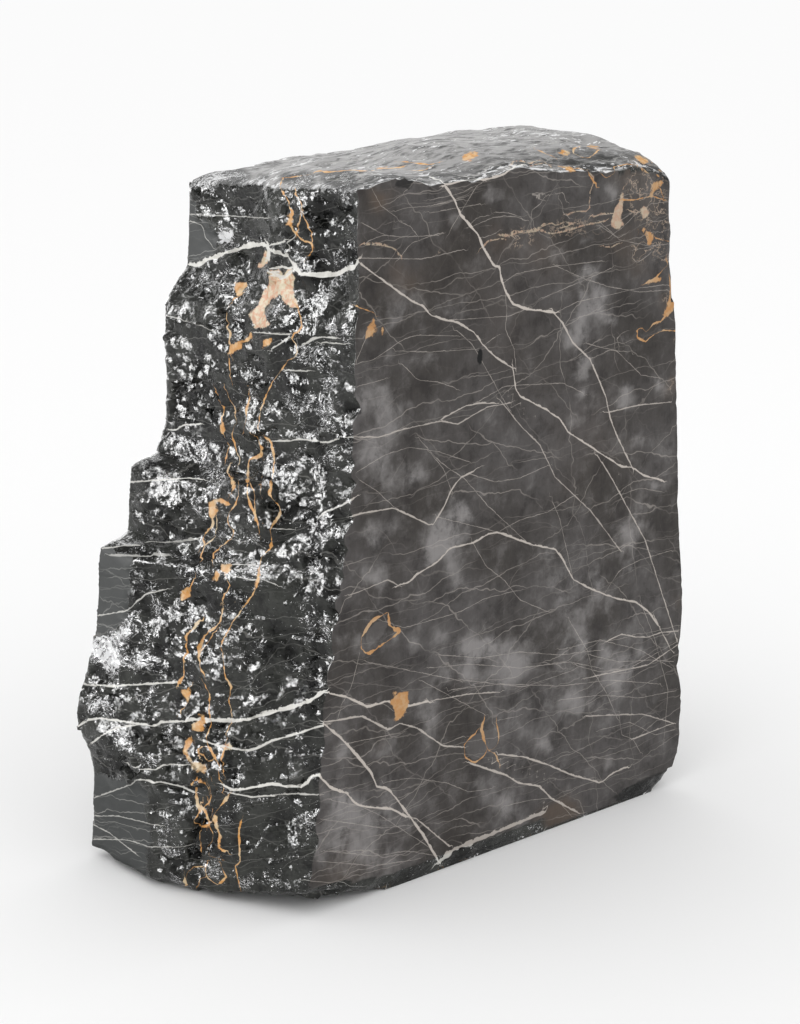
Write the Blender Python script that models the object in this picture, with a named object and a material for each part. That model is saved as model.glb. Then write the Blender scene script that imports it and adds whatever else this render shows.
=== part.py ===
"""Marble block: an upright slab of dark veined marble, one solid as it came from the quarry.

Metres, +Z up. The large sawn face looks along -Y. The left end, along -X, is a rough break that
steps inwards over two ledges, with flat natural facets along its far edge. The top, the back and
the right end are rough, and the block stands on its flat base at z = 0, with the middle of its
bounding box at x = y = 0.

While it is shaped, the block's plan is measured from the sawn face: x runs along that face from
its lower left corner, and y runs into the stone. Every point of the surface comes from a point
(u, v, w) of a unit grid: u runs along the sawn face, v into the stone and w upwards.
"""

import math

import bpy
import bmesh
from mathutils import Vector, noise

NAME = "marble_block"

# Driving dimensions, in metres.
HEIGHT = 0.495
THICKNESS = 0.190

# The grid: rows are as near this height as the ledges allow.
ROW_HEIGHT = 0.0132
COLUMNS_ALONG_FACE = 30
COLUMNS_ALONG_BREAK = 13
COLUMNS_ALONG_FACETS = 3
COLUMNS_INTO_STONE = COLUMNS_ALONG_BREAK + COLUMNS_ALONG_FACETS
BREAK_SHARE = COLUMNS_ALONG_BREAK / COLUMNS_INTO_STONE

# Features of the left end, each from the height where it begins to the height where it ends.
BULGE = (0.095, 0.140)
LOWER_LEDGE = (0.229, 0.238)
UPPER_LEDGE = (0.285, 0.292)
SHOULDER = (0.395, 0.422)

# Upright lines of the plan, as (height, x) from bottom to top.
NEAR_EDGE_X = [(0.000, 0.000), (0.090, 0.010), (0.160, 0.017), (0.225, 0.026),
               (0.290, 0.040), (0.440, 0.047), (0.500, 0.047)]
RIGHT_EDGE_X = [(0.000, 0.356), (0.020, 0.371), (0.070, 0.374), (0.095, 0.368), (0.150, 0.371),
                (0.210, 0.364), (0.310, 0.357), (0.400, 0.351), (0.430, 0.357), (0.500, 0.360)]
RIGHT_BACK_X = [(0.000, 0.366), (0.250, 0.378), (0.500, 0.380)]
LEFT_BACK_X = [(0.000, -0.047), (0.075, -0.044), (0.106, -0.056), (0.128, -0.055), (0.142, -0.046),
               (0.176, -0.037), (0.229, -0.029), (0.238, -0.007), (0.285, -0.003), (0.292, 0.018),
               (0.310, 0.027), (0.395, 0.030), (0.422, 0.051), (0.500, 0.055)]

# Where the rough break gives way to the flat facets of the left end, as (height, y).
FACET_FRONT_Y = [(0.000, 0.117), (0.090, 0.122), (0.106, 0.176), (0.128, 0.178), (0.150, 0.160),
                 (0.229, 0.160), (0.238, 0.172), (0.285, 0.172), (0.292, 0.165), (0.395, 0.165),
                 (0.422, 0.152), (0.500, 0.150)]

# Height of the top's rim, along the sawn face and the back by x, and along both ends by y.
TOP_FRONT = [(0.047, 0.495), (0.084, 0.500), (0.110, 0.493), (0.155, 0.491), (0.192, 0.496),
             (0.230, 0.489), (0.270, 0.486), (0.310, 0.484), (0.345, 0.476), (0.360, 0.470)]
TOP_BACK = [(0.055, 0.479), (0.072, 0.484), (0.140, 0.488), (0.200, 0.490), (0.380, 0.492)]
TOP_LEFT = [(0.000, 0.495), (0.090, 0.488), (0.150, 0.483), (0.190, 0.479)]
TOP_RIGHT = [(0.000, 0.470), (0.030, 0.484), (0.090, 0.492), (0.190, 0.492)]
TOP_CROWN = 0.002
TOP_BLEND = 0.090

# The worn upper right corner of the sawn face falls back from the saw's plane, from the first
# x and height, where it starts, to the second, where it has its full depth.
WORN_CORNER_X = (0.285, 0.360)
WORN_CORNER_Z = (0.375, 0.470)
WORN_CORNER_DEPTH = 0.013

# The broken lower corner under the near edge, and the chipped arris round the rest of the base.
LOWER_CHIP_RISE = 0.019
LOWER_CHIP_REACH = 0.047
LOWER_CHIP_DIRECTION = Vector((0.64, 0.77))
ARRIS_RISE = {"front": 0.000, "right": 0.004, "back": 0.007, "left": 0.006}
ARRIS_SETBACK = 0.003
ARRIS_BLEND = 0.040

# Relief of the broken surfaces: how wide the chips and lumps are, and how far each stands out.
CHIP_SIZE = 0.048
CHIP_FLATNESS = 1.5
CHIP_TILT = 1.8
CHIP_STEP = 0.6
LUMP_SIZE = 0.085
LUMP_GAIN = 1.4
BREAK_RELIEF = {"chip": 0.0050, "lump": 0.0055}
BACK_RELIEF = {"chip": 0.0080, "lump": 0.0120}
RIGHT_RELIEF = {"chip": 0.0050, "lump": 0.0050}
TOP_RELIEF = {"chip": 0.0032, "lump": 0.0030}
FACET_RELIEF = {"chip": 0.0006, "lump": 0.0}
RELIEF_PLACE = Vector((3.7, 11.3, 5.9))
CELLS_APART = 5.17

# The break's upright rib and the valley beside the sawn face: place and width as shares of it.
RIB_HEIGHT = 0.005
RIB_PLACE, RIB_WIDTH = 0.42, 0.16
VALLEY_PLACE, VALLEY_WIDTH = 0.16, 0.11
VALLEY_DEPTH = 0.6

# Relief fades in over these shares of the grid, away from the sawn face, the base and the rims.
FADE_FROM_SAWN_EDGE = 0.14
FADE_FROM_BASE = 0.05
FADE_FROM_RIM = 0.09
RIM_SHARE = 0.20
FACET_FADE_START = 0.80
FACET_FADE = 0.8

COLOR = (0.045, 0.044, 0.043, 1.0)
ROUGHNESS = 0.32
SHARP_EDGE = math.radians(28.0)


def along(points, position):
    """The value at a position on a line drawn through (position, value) points."""
    for (start, value), (end, next_value) in zip(points, points[1:]):
        if position <= end:
            share = max(0.0, (position - start) / (end - start))
            return value + (next_value - value) * share
    return points[-1][1]


def smooth(low, high, value):
    """0 below low, 1 above high, and an S-curve between."""
    share = min(max((value - low) / (high - low), 0.0), 1.0)
    return share * share * (3.0 - 2.0 * share)


def level_heights():
    """The heights of the grid's rows, with a row at each end of each ledge."""
    breaks = [0.0, *BULGE, *LOWER_LEDGE, *UPPER_LEDGE, *SHOULDER, HEIGHT]
    levels = [0.0]
    for low, high in zip(breaks, breaks[1:]):
        rows = max(1, round((high - low) / ROW_HEIGHT))
        levels += [low + (high - low) * row / rows for row in range(1, rows + 1)]
    return levels


def rim_point(side, share, height):
    """A point (x, y) of the plan at a height: a share of the way along one side."""
    near = Vector((along(NEAR_EDGE_X, height), 0.0))
    right = Vector((along(RIGHT_EDGE_X, height), 0.0))
    right_back = Vector((along(RIGHT_BACK_X, height), THICKNESS))
    left_back = Vector((along(LEFT_BACK_X, height), THICKNESS))
    if side == "front":
        return near.lerp(right, share)
    if side == "right":
        return right.lerp(right_back, share)
    if side == "back":
        return left_back.lerp(right_back, share)
    facet_front = Vector((left_back.x, along(FACET_FRONT_Y, height)))
    if share <= BREAK_SHARE:
        return near.lerp(facet_front, share / BREAK_SHARE)
    return facet_front.lerp(left_back, (share - BREAK_SHARE) / (1.0 - BREAK_SHARE))


def between_sides(front, right, back, left, u, v):
    """Fill a four-sided patch from its sides; each is a function of its own share."""
    across = left(v) * (1.0 - u) + right(v) * u
    into = front(u) * (1.0 - v) + back(u) * v
    corners = ((front(0.0) * (1.0 - u) + front(1.0) * u) * (1.0 - v)
               + (back(0.0) * (1.0 - u) + back(1.0) * u) * v)
    return across + into - corners


def plan_point(u, v, height):
    """The plan point of grid position (u, v) at a height."""
    return between_sides(lambda share: rim_point("front", share, height),
                         lambda share: rim_point("right", share, height),
                         lambda share: rim_point("back", share, height),
                         lambda share: rim_point("left", share, height), u, v)


def top_height(u, v):
    """The height of the top over grid position (u, v), before its relief."""
    rim = between_sides(lambda share: along(TOP_FRONT, rim_point("front", share, HEIGHT).x),
                        lambda share: along(TOP_RIGHT, share * THICKNESS),
                        lambda share: along(TOP_BACK, rim_point("back", share, HEIGHT).x),
                        lambda share: along(TOP_LEFT, share * THICKNESS), u, v)
    return rim + TOP_CROWN * math.sin(math.pi * v) * math.sin(math.pi * u)


def base_rise(u, v, plan):
    """How far the stone clears the ground at a plan point: the lower chip, and the arris."""
    reach = plan.dot(LOWER_CHIP_DIRECTION) / LOWER_CHIP_REACH
    rise = LOWER_CHIP_RISE * max(0.0, 1.0 - max(reach, 0.0))
    on_side = {"left": u == 0.0, "right": u == 1.0, "front": v == 0.0, "back": v == 1.0}
    for side, here in on_side.items():
        if here:
            rise = max(rise, ARRIS_RISE[side])
    return rise


def shaped_point(u, v, level):
    """Where a point of the unit grid goes, before any relief."""
    plan = plan_point(u, v, level)
    top_share = smooth(HEIGHT - TOP_BLEND, HEIGHT, level)
    bottom_share = max(0.0, 1.0 - level / ARRIS_BLEND)
    height = level + (top_height(u, v) - HEIGHT) * top_share + base_rise(u, v, plan) * bottom_share
    depth = plan.y + WORN_CORNER_DEPTH * (smooth(*WORN_CORNER_X, plan.x)
                                          * smooth(*WORN_CORNER_Z, level) * (1.0 - v))
    if level == 0.0:
        depth += ARRIS_SETBACK * (1.0 - v)
    return Vector((plan.x, depth, height))


def chips(point):
    """A field of flat chips, wider than they are tall and tilted every way, about -1 to 1."""
    stretched = Vector((point.x, point.y, point.z * CHIP_FLATNESS))
    place = stretched / CHIP_SIZE + RELIEF_PLACE
    centre = noise.voronoi(place)[1][0]
    tilt = noise.cell_vector(centre * CELLS_APART) - Vector((0.5, 0.5, 0.5))
    return (place - centre).dot(tilt) * CHIP_TILT + noise.noise(centre * CELLS_APART) * CHIP_STEP


def lumps(point):
    """Smooth swells and hollows, about -1 to 1."""
    return noise.noise(point / LUMP_SIZE + RELIEF_PLACE) * LUMP_GAIN


def rough(amounts, point):
    """Chips and lumps together, in metres, for one kind of surface."""
    return amounts["chip"] * chips(point) + amounts["lump"] * lumps(point)


def break_relief(v, point):
    """The rough break: relief, an upright rib and a valley, calm where the facets begin."""
    share = v / BREAK_SHARE
    rib = math.exp(-((share - RIB_PLACE) / RIB_WIDTH) ** 2)
    valley = math.exp(-((share - VALLEY_PLACE) / VALLEY_WIDTH) ** 2)
    calm = 1.0 - FACET_FADE * smooth(FACET_FADE_START, 1.0, share)
    return rough(BREAK_RELIEF, point) * calm + RIB_HEIGHT * (rib - VALLEY_DEPTH * valley)


def relief(u, v, w, point):
    """How far the stone stands out at a grid point; the sawn face and the base stay flat."""
    if v == 0.0 or w == 0.0:
        return 0.0
    from_sawn_edge = smooth(0.0, FADE_FROM_SAWN_EDGE, v)
    from_base = smooth(0.0, FADE_FROM_BASE, w)
    if w == 1.0:
        from_rim = smooth(0.0, FADE_FROM_RIM, min(u, 1.0 - u, v, 1.0 - v))
        return rough(TOP_RELIEF, point) * (RIM_SHARE + (1.0 - RIM_SHARE) * from_rim)
    if v == 1.0:
        from_rim = smooth(0.0, FADE_FROM_RIM, min(u, 1.0 - w))
        return rough(BACK_RELIEF, point) * (RIM_SHARE + (1.0 - RIM_SHARE) * from_rim) * from_base
    if u == 1.0:
        return rough(RIGHT_RELIEF, point) * from_sawn_edge * from_base
    if v >= BREAK_SHARE:
        return rough(FACET_RELIEF, point)
    return break_relief(v, point) * from_sawn_edge * from_base


def unit_grid(columns_x, columns_y, rows):
    """A unit cube whose six faces are cut into a grid."""
    mesh = bmesh.new()
    bmesh.ops.create_cube(mesh, size=1.0)
    bmesh.ops.translate(mesh, verts=mesh.verts, vec=(0.5, 0.5, 0.5))
    for axis, count in enumerate((columns_x, columns_y, rows)):
        edges = [edge for edge in mesh.edges
                 if abs(edge.verts[0].co[axis] - edge.verts[1].co[axis]) > 0.5]
        bmesh.ops.subdivide_edges(mesh, edges=edges, cuts=count - 1, use_grid_fill=True)
    return mesh


def grid_share(value, count):
    """A grid coordinate put back exactly on its line."""
    return round(value * count) / count


def centre_on_box(mesh):
    """Put the middle of the bounding box at x = y = 0 and its floor at z = 0."""
    low = [min(vert.co[axis] for vert in mesh.verts) for axis in range(3)]
    high = [max(vert.co[axis] for vert in mesh.verts) for axis in range(3)]
    shift = Vector((-(low[0] + high[0]) / 2.0, -(low[1] + high[1]) / 2.0, -low[2]))
    bmesh.ops.translate(mesh, verts=mesh.verts, vec=shift)


def build_block():
    """The block's mesh, centred on its box and standing at z = 0."""
    levels = level_heights()
    rows = len(levels) - 1
    mesh = unit_grid(COLUMNS_ALONG_FACE, COLUMNS_INTO_STONE, rows)
    places = {}
    for vert in mesh.verts:
        u = grid_share(vert.co.x, COLUMNS_ALONG_FACE)
        v = grid_share(vert.co.y, COLUMNS_INTO_STONE)
        row = round(vert.co.z * rows)
        places[vert] = (u, v, row / rows)
        vert.co = shaped_point(u, v, levels[row])
    mesh.normal_update()
    moves = {vert: vert.normal * relief(*place, vert.co) for vert, place in places.items()}
    for vert, move in moves.items():
        vert.co += move
    centre_on_box(mesh)
    bmesh.ops.triangulate(mesh, faces=mesh.faces, quad_method="SHORT_EDGE")
    bmesh.ops.recalc_face_normals(mesh, faces=mesh.faces)
    return mesh


def marble_material():
    """Dark marble, as one plain colour."""
    material = bpy.data.materials.new("dark_marble")
    material.use_nodes = True
    shader = material.node_tree.nodes["Principled BSDF"]
    shader.inputs["Base Color"].default_value = COLOR
    shader.inputs["Roughness"].default_value = ROUGHNESS
    shader.inputs["Metallic"].default_value = 0.0
    material.diffuse_color = COLOR
    return material


def main():
    """Clear the scene and make the block in a collection of its own."""
    for old in list(bpy.data.objects):
        bpy.data.objects.remove(old)
    collection = bpy.data.collections.new(NAME)
    bpy.context.scene.collection.children.link(collection)
    mesh = build_block()
    data = bpy.data.meshes.new(NAME)
    mesh.to_mesh(data)
    mesh.free()
    data.materials.append(marble_material())
    data.shade_smooth()
    data.set_sharp_from_angle(angle=SHARP_EDGE)
    collection.objects.link(bpy.data.objects.new(NAME, data))


main()
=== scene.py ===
"""Looks of the marble block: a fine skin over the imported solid, its veins, its marble and the light.

Metres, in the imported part's frame: the sawn face looks along -Y, the rough break along -X. Veins,
patches and clouds are drawn as lines and spots in the pixels of an 800 x 1024 picture seen from
the scene's camera, and they are carried from there onto the stone, where they are real lengths.
"""

import math

import bmesh
import bpy
import numpy as np
from mathutils import Matrix, Vector, noise
from mathutils.bvhtree import BVHTree
from mathutils.kdtree import KDTree


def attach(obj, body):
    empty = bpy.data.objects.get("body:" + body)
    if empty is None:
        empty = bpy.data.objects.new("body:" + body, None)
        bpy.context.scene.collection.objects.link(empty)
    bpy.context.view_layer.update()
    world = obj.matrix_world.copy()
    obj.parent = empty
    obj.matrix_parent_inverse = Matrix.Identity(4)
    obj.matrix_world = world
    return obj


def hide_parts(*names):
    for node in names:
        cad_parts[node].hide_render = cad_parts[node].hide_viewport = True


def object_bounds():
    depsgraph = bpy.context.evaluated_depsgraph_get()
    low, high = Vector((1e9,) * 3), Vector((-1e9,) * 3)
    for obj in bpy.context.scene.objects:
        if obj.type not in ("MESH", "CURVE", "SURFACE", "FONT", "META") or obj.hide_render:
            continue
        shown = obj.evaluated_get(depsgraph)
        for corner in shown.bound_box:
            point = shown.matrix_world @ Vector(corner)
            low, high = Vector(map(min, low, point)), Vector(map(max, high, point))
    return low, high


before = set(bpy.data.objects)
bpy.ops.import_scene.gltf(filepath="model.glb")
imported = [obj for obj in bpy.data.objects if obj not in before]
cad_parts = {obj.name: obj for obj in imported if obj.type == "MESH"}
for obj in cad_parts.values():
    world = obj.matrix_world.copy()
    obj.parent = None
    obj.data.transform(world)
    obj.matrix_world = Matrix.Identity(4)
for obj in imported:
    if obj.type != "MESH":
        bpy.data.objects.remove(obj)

NODE = "marble_block"

# ---- Camera: where it stands, where it looks, and how its picture is framed ----
PICTURE_WIDTH, PICTURE_HEIGHT = 800, 1024
FOCAL_PX = 2500.0
SENSOR_MM = 36.0
CAMERA_PLACE = np.array((-1.1543, -1.3126, 0.7348))
CAMERA_HEADING = math.radians(41.56)
CAMERA_PITCH = math.radians(15.90)
CAMERA_RIGHT = np.array((math.cos(CAMERA_HEADING), -math.sin(CAMERA_HEADING), 0.0))
CAMERA_AHEAD = np.array((math.sin(CAMERA_HEADING) * math.cos(CAMERA_PITCH),
                         math.cos(CAMERA_HEADING) * math.cos(CAMERA_PITCH),
                         -math.sin(CAMERA_PITCH)))
CAMERA_UP = np.cross(CAMERA_RIGHT, CAMERA_AHEAD)

# ---- Skin: an even mesh of the solid, finer on the rough break, with relief of its own ----
# How fine the even mesh is, how near its points merge before and after it is made, and how many
# times the places where it touches itself are rebuilt.
REMESH_DEPTH = 8
REMESH_SCALE = 0.52
WELD_DISTANCE = 1e-5
MERGE_DISTANCE = 0.0002
MEND_ROUNDS = 6
SHARP_EDGE = math.radians(38.0)

# How near the sawn face's plane a point counts as on it, and how near the floor as on the base.
ON_PLANE = 0.0003
ON_FLOOR = 0.0008

# Which way each kind of surface looks: how far its normal leans along y or z.
SAWN_FACING = -0.86
FOOT_FACING = -0.25
BACK_FACING = (0.50, 0.70)
TOP_FACING = (0.60, 0.75)
BREAK_FACING = (-0.9, 0.6)
UPRIGHT = 0.8
OFF_SAWN_FACE = -0.95

# From what height a surface off the sawn face's plane may count as sawn, and how far down the
# top reaches.
SAWN_FROM_HEIGHT = 0.02
TOP_DEPTH = 0.06

# The narrow bevel under the sawn face: how high it reaches, the columns where it looks sawn, and
# how softly those end.
FOOT_HEIGHT = 0.07
FOOT_SAWN_FROM, FOOT_SAWN_TO = 545.0, 622.0
FOOT_SOFTNESS_PX = 4.0

# Worn rims: the least angle between two faces that makes one, how far into the sawn face its
# outline is nibbled, how wide a worn rim is for its depth, how often it is smoothed, and over what
# distance the nearness to a rim fades.
RIM_ANGLE = math.radians(38.0)
OUTLINE_REACH = 0.013
RIM_WIDTH = 3.2
RIM_ROUNDS = 3
RIM_NEARNESS = 0.006

# How deep rims are worn: the least depth, and waves of (size, depth) on top of it.
OUTLINE_WEAR = (0.0002, ((0.012, 0.0024), (0.005, 0.0016)))
RIM_WEAR = (0.0007, ((0.021, 0.0030),))

# Relief on each kind of surface: how large its chips are, and how deep.
BREAK_CHIPS = ((0.042, 0.0052), (0.018, 0.0034), (0.0075, 0.0016))
REST_CHIPS = ((0.026, 0.0022), (0.011, 0.0012))
TOP_CHIPS = ((0.030, 0.0012), (0.012, 0.0007))

# The chips' shape: how much wider than tall, how steep, how far they step in and out, and how far
# apart the random numbers of neighbours are drawn.
CHIP_FLATNESS = 1.5
CHIP_TILT = 1.8
CHIP_STEP = 0.6
CELLS_APART = 5.17

# Where the relief is weaker: the size of calm patches, the share of it that they keep, and how
# much of it is lost on a facet and at a rim.
CALM_PATCH = 0.045
CALM_SHARE = 0.45
FACET_CALM = 0.9
RIM_CALM = 0.75

# Bites out of the sawn face's near edge: the picture row, the depth and the half height; the
# pixels that the edge runs through; and the height at which it ends.
NEAR_EDGE_BITES = [(408, 0.0060, 0.006), (463, 0.0035, 0.004), (484, 0.0040, 0.004),
                   (519, 0.0055, 0.006), (551, 0.0040, 0.005), (576, 0.0050, 0.005),
                   (591, 0.0045, 0.004), (616, 0.0050, 0.006), (232, 0.0025, 0.006),
                   (300, 0.0020, 0.010), (655, 0.0030, 0.006), (690, 0.0025, 0.004),
                   (745, 0.0035, 0.007), (800, 0.0025, 0.006), (842, 0.0035, 0.008)]
NEAR_EDGE_ROWS = (190, 300, 400, 500, 600, 690, 790, 880)
NEAR_EDGE_COLUMNS = (362, 360, 358, 356, 342, 332, 326, 318)
NEAR_EDGE_TOP = 0.45

# ---- Veins: name: (half width in millimetres, strength, the pixels it runs through) ----
WHITE_VEINS = {
    "upper_break": (1.9, 1, [(187, 263), (197, 266), (206, 260), (246, 246), (258, 244), (266, 245),
        (273, 250), (288, 256), (299, 273), (311, 275), (337, 274), (354, 266), (357, 261)]),
    "junction": (2.9, 1, [(268, 244), (272, 250), (268, 257)]),
    "junction_top": (0.9, 0.9, [(272, 245), (285, 241)]),
    "patch_top": (2.2, 0.9, [(272, 273), (281, 278), (290, 272)]),
    "upper_break_arc": (0.8, 0.9, [(271, 268), (279, 266), (288, 268), (293, 266)]),
    "upper_break_tie": (0.4, 0.8, [(289, 255), (288, 243), (296, 234)]),
    "upper_sawn": (0.7, 0.85, [(357, 261), (410, 300), (423, 306), (431, 315), (445, 320), (457, 322),
        (475, 333), (483, 345), (497, 358), (513, 368)]),
    "upper_sawn_end": (0.65, 0.9, [(513, 368), (516, 390), (520, 396), (547, 410), (560, 419), (568, 432),
        (622, 467), (632, 467), (645, 476), (662, 480)]),
    "fork_down": (0.5, 0.7, [(597, 455), (610, 475), (645, 540), (680, 650)]),
    "crest": (0.95, 0.95, [(430, 176), (440, 180), (447, 188), (455, 201), (460, 214), (478, 234),
        (483, 247), (494, 266), (500, 267), (501, 278), (506, 292), (513, 304), (527, 309), (553, 312)]),
    "crest_end": (0.65, 0.8, [(553, 312), (562, 322), (573, 343), (590, 359), (606, 397), (610, 418),
        (617, 436), (632, 467)]),
    "middle": (0.75, 0.85, [(398, 585), (410, 582), (417, 574), (439, 561), (450, 548), (473, 543),
        (488, 534), (498, 532), (533, 545), (555, 549), (562, 558), (573, 579), (587, 587), (604, 594),
        (618, 599), (636, 602), (649, 612), (658, 625)]),
    "middle_left": (0.4, 0.6, [(350, 595), (388, 580), (398, 585)]),
    "notch": (0.6, 0.75, [(353, 516), (362, 513), (394, 508), (432, 526), (445, 505), (450, 492),
        (460, 478), (476, 470)]),
    "high_left": (0.45, 0.65, [(350, 437), (380, 437), (400, 430), (440, 421), (458, 424), (487, 407),
        (510, 403)]),
    "long_diagonal": (0.45, 0.6, [(500, 400), (520, 425), (540, 445), (555, 477), (590, 510), (620, 550)]),
    "lower_break": (1.6, 1, [(187, 721), (195, 719), (231, 721), (248, 719), (313, 700), (324, 692)]),
    "lower_break_start": (0.8, 0.95, [(80, 725), (88, 720), (101, 718), (154, 726), (160, 722),
        (187, 721)]),
    "lower_sawn": (0.9, 0.95, [(324, 692), (347, 697), (368, 707), (387, 701), (397, 705), (409, 706),
        (429, 701)]),
    "lower_sawn_end": (0.5, 0.7, [(429, 701), (469, 694), (499, 692)]),
    "yellow_branch": (0.7, 0.9, [(91, 744), (102, 736), (118, 728), (141, 724)]),
    "bottom_break": (1.1, 1, [(222, 786), (231, 790), (245, 789), (273, 783), (288, 786), (302, 786),
        (308, 782), (311, 776), (319, 775), (331, 788), (340, 791)]),
    "bottom_sawn": (0.85, 0.95, [(340, 791), (347, 793), (353, 801), (360, 806), (392, 809), (405, 816)]),
    "bottom_sawn_end": (0.6, 0.75, [(392, 809), (405, 816), (417, 819), (449, 846)]),
    "steep": (0.95, 0.9, [(325, 724), (345, 742), (371, 772), (377, 787), (387, 788), (397, 799),
        (424, 836), (439, 862)]),
    "foot": (2.5, 0.72, [(439, 862), (447, 854), (455, 849), (472, 842)]),
    "foot_end": (1.8, 0.72, [(472, 842), (542, 813)]),
    "lower_wave": (0.65, 0.75, [(325, 722), (362, 716), (389, 730), (400, 723), (417, 728), (443, 746),
        (462, 747)]),
    "lower_wave_end": (0.75, 0.8, [(469, 763), (506, 775), (519, 783), (539, 786), (551, 798), (586, 817)]),
    "right_wave": (0.7, 0.8, [(499, 754), (524, 757), (549, 765), (569, 774), (601, 783), (611, 774),
        (626, 767)]),
    "right_low": (0.5, 0.65, [(586, 716), (643, 714), (673, 723)]),
    "right_lower": (0.6, 0.7, [(633, 739), (673, 723)]),
    "right_mid": (0.5, 0.75, [(607, 641), (622, 634), (635, 637), (648, 637), (662, 632), (680, 631)]),
    "right_mid_low": (0.5, 0.7, [(586, 678), (648, 665), (680, 643)]),
    "right_tick": (0.4, 0.7, [(655, 618), (671, 650), (680, 659)]),
    "right_high": (0.45, 0.7, [(606, 413), (639, 405), (671, 402)]),
    "bright_stub": (0.6, 0.75, [(443, 418), (465, 406), (480, 403), (496, 403)]),
    "top_rim": (1, 1, [(446, 184), (468, 180), (484, 180), (502, 175), (517, 166), (524, 165)]),
    "top_rim_low": (0.4, 0.7, [(456, 175), (484, 180)]),
    "shoulder": (0.8, 0.9, [(84, 684), (114, 686), (178, 682)]),
    "bulge_low": (0.9, 0.9, [(124, 766), (141, 776), (176, 786), (193, 793)]),
    "bulge_high": (0.6, 0.85, [(134, 767), (156, 769), (164, 765), (187, 765)]),
    "star_right": (0.8, 0.9, [(202, 741), (214, 746), (222, 746), (248, 751), (260, 747), (271, 741),
        (325, 725)]),
    "under_bottom": (0.7, 0.85, [(231, 793), (252, 797), (271, 795), (317, 795)]),
    "ledge": (1, 0.6, [(103, 548), (150, 545), (197, 539)]),
    "ledge_low": (0.9, 0.45, [(110, 555), (166, 556)]),
    "upper_ledge": (0.6, 0.8, [(130, 482), (190, 478), (202, 480)]),
    "left_thin": (0.6, 0.8, [(160, 429), (175, 430), (184, 425), (200, 424)]),
    "right_thin": (0.6, 0.8, [(269, 441), (288, 441), (301, 439), (330, 442), (338, 439)]),
    "neck": (0.7, 0.85, [(321, 517), (328, 510), (346, 503), (354, 498)]),
    "break_bar": (0.5, 0.75, [(255, 332), (288, 335)]),
    "break_slant": (0.6, 0.8, [(273, 348), (288, 338)]),
    "break_crown": (0.8, 0.8, [(303, 345), (311, 340), (321, 337), (336, 338)]),
    "break_crown_low": (0.5, 0.75, [(321, 343), (346, 344)]),
    "break_low_bar": (0.5, 0.7, [(286, 370), (308, 371)]),
    "break_short": (0.5, 0.7, [(232, 564), (255, 565)]),
    "break_short_low": (0.4, 0.7, [(238, 577), (252, 580), (264, 580), (275, 584)]),
    "break_tick": (0.4, 0.6, [(277, 529), (291, 529)]),
    "under_ledge": (0.5, 0.7, [(95, 616), (126, 611), (146, 594), (167, 589)]),
    "facet_rise": (0.5, 0.6, [(91, 799), (132, 784), (139, 778)]),
    "facet_level": (0.45, 0.6, [(91, 816), (118, 816), (162, 826)]),
    "facet_fall": (0.45, 0.65, [(91, 823), (109, 833), (136, 854)]),
    "facet_low": (0.45, 0.6, [(91, 839), (128, 840), (151, 847), (187, 847)]),
    "shoulder_thin": (0.35, 0.6, [(188, 214), (270, 218)]),
    "shoulder_vein": (0.4, 0.6, [(190, 221), (202, 225), (205, 236), (212, 246)]),
    "olive_arc": (0.4, 0.6, [(164, 311), (213, 332)]),
}

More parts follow.
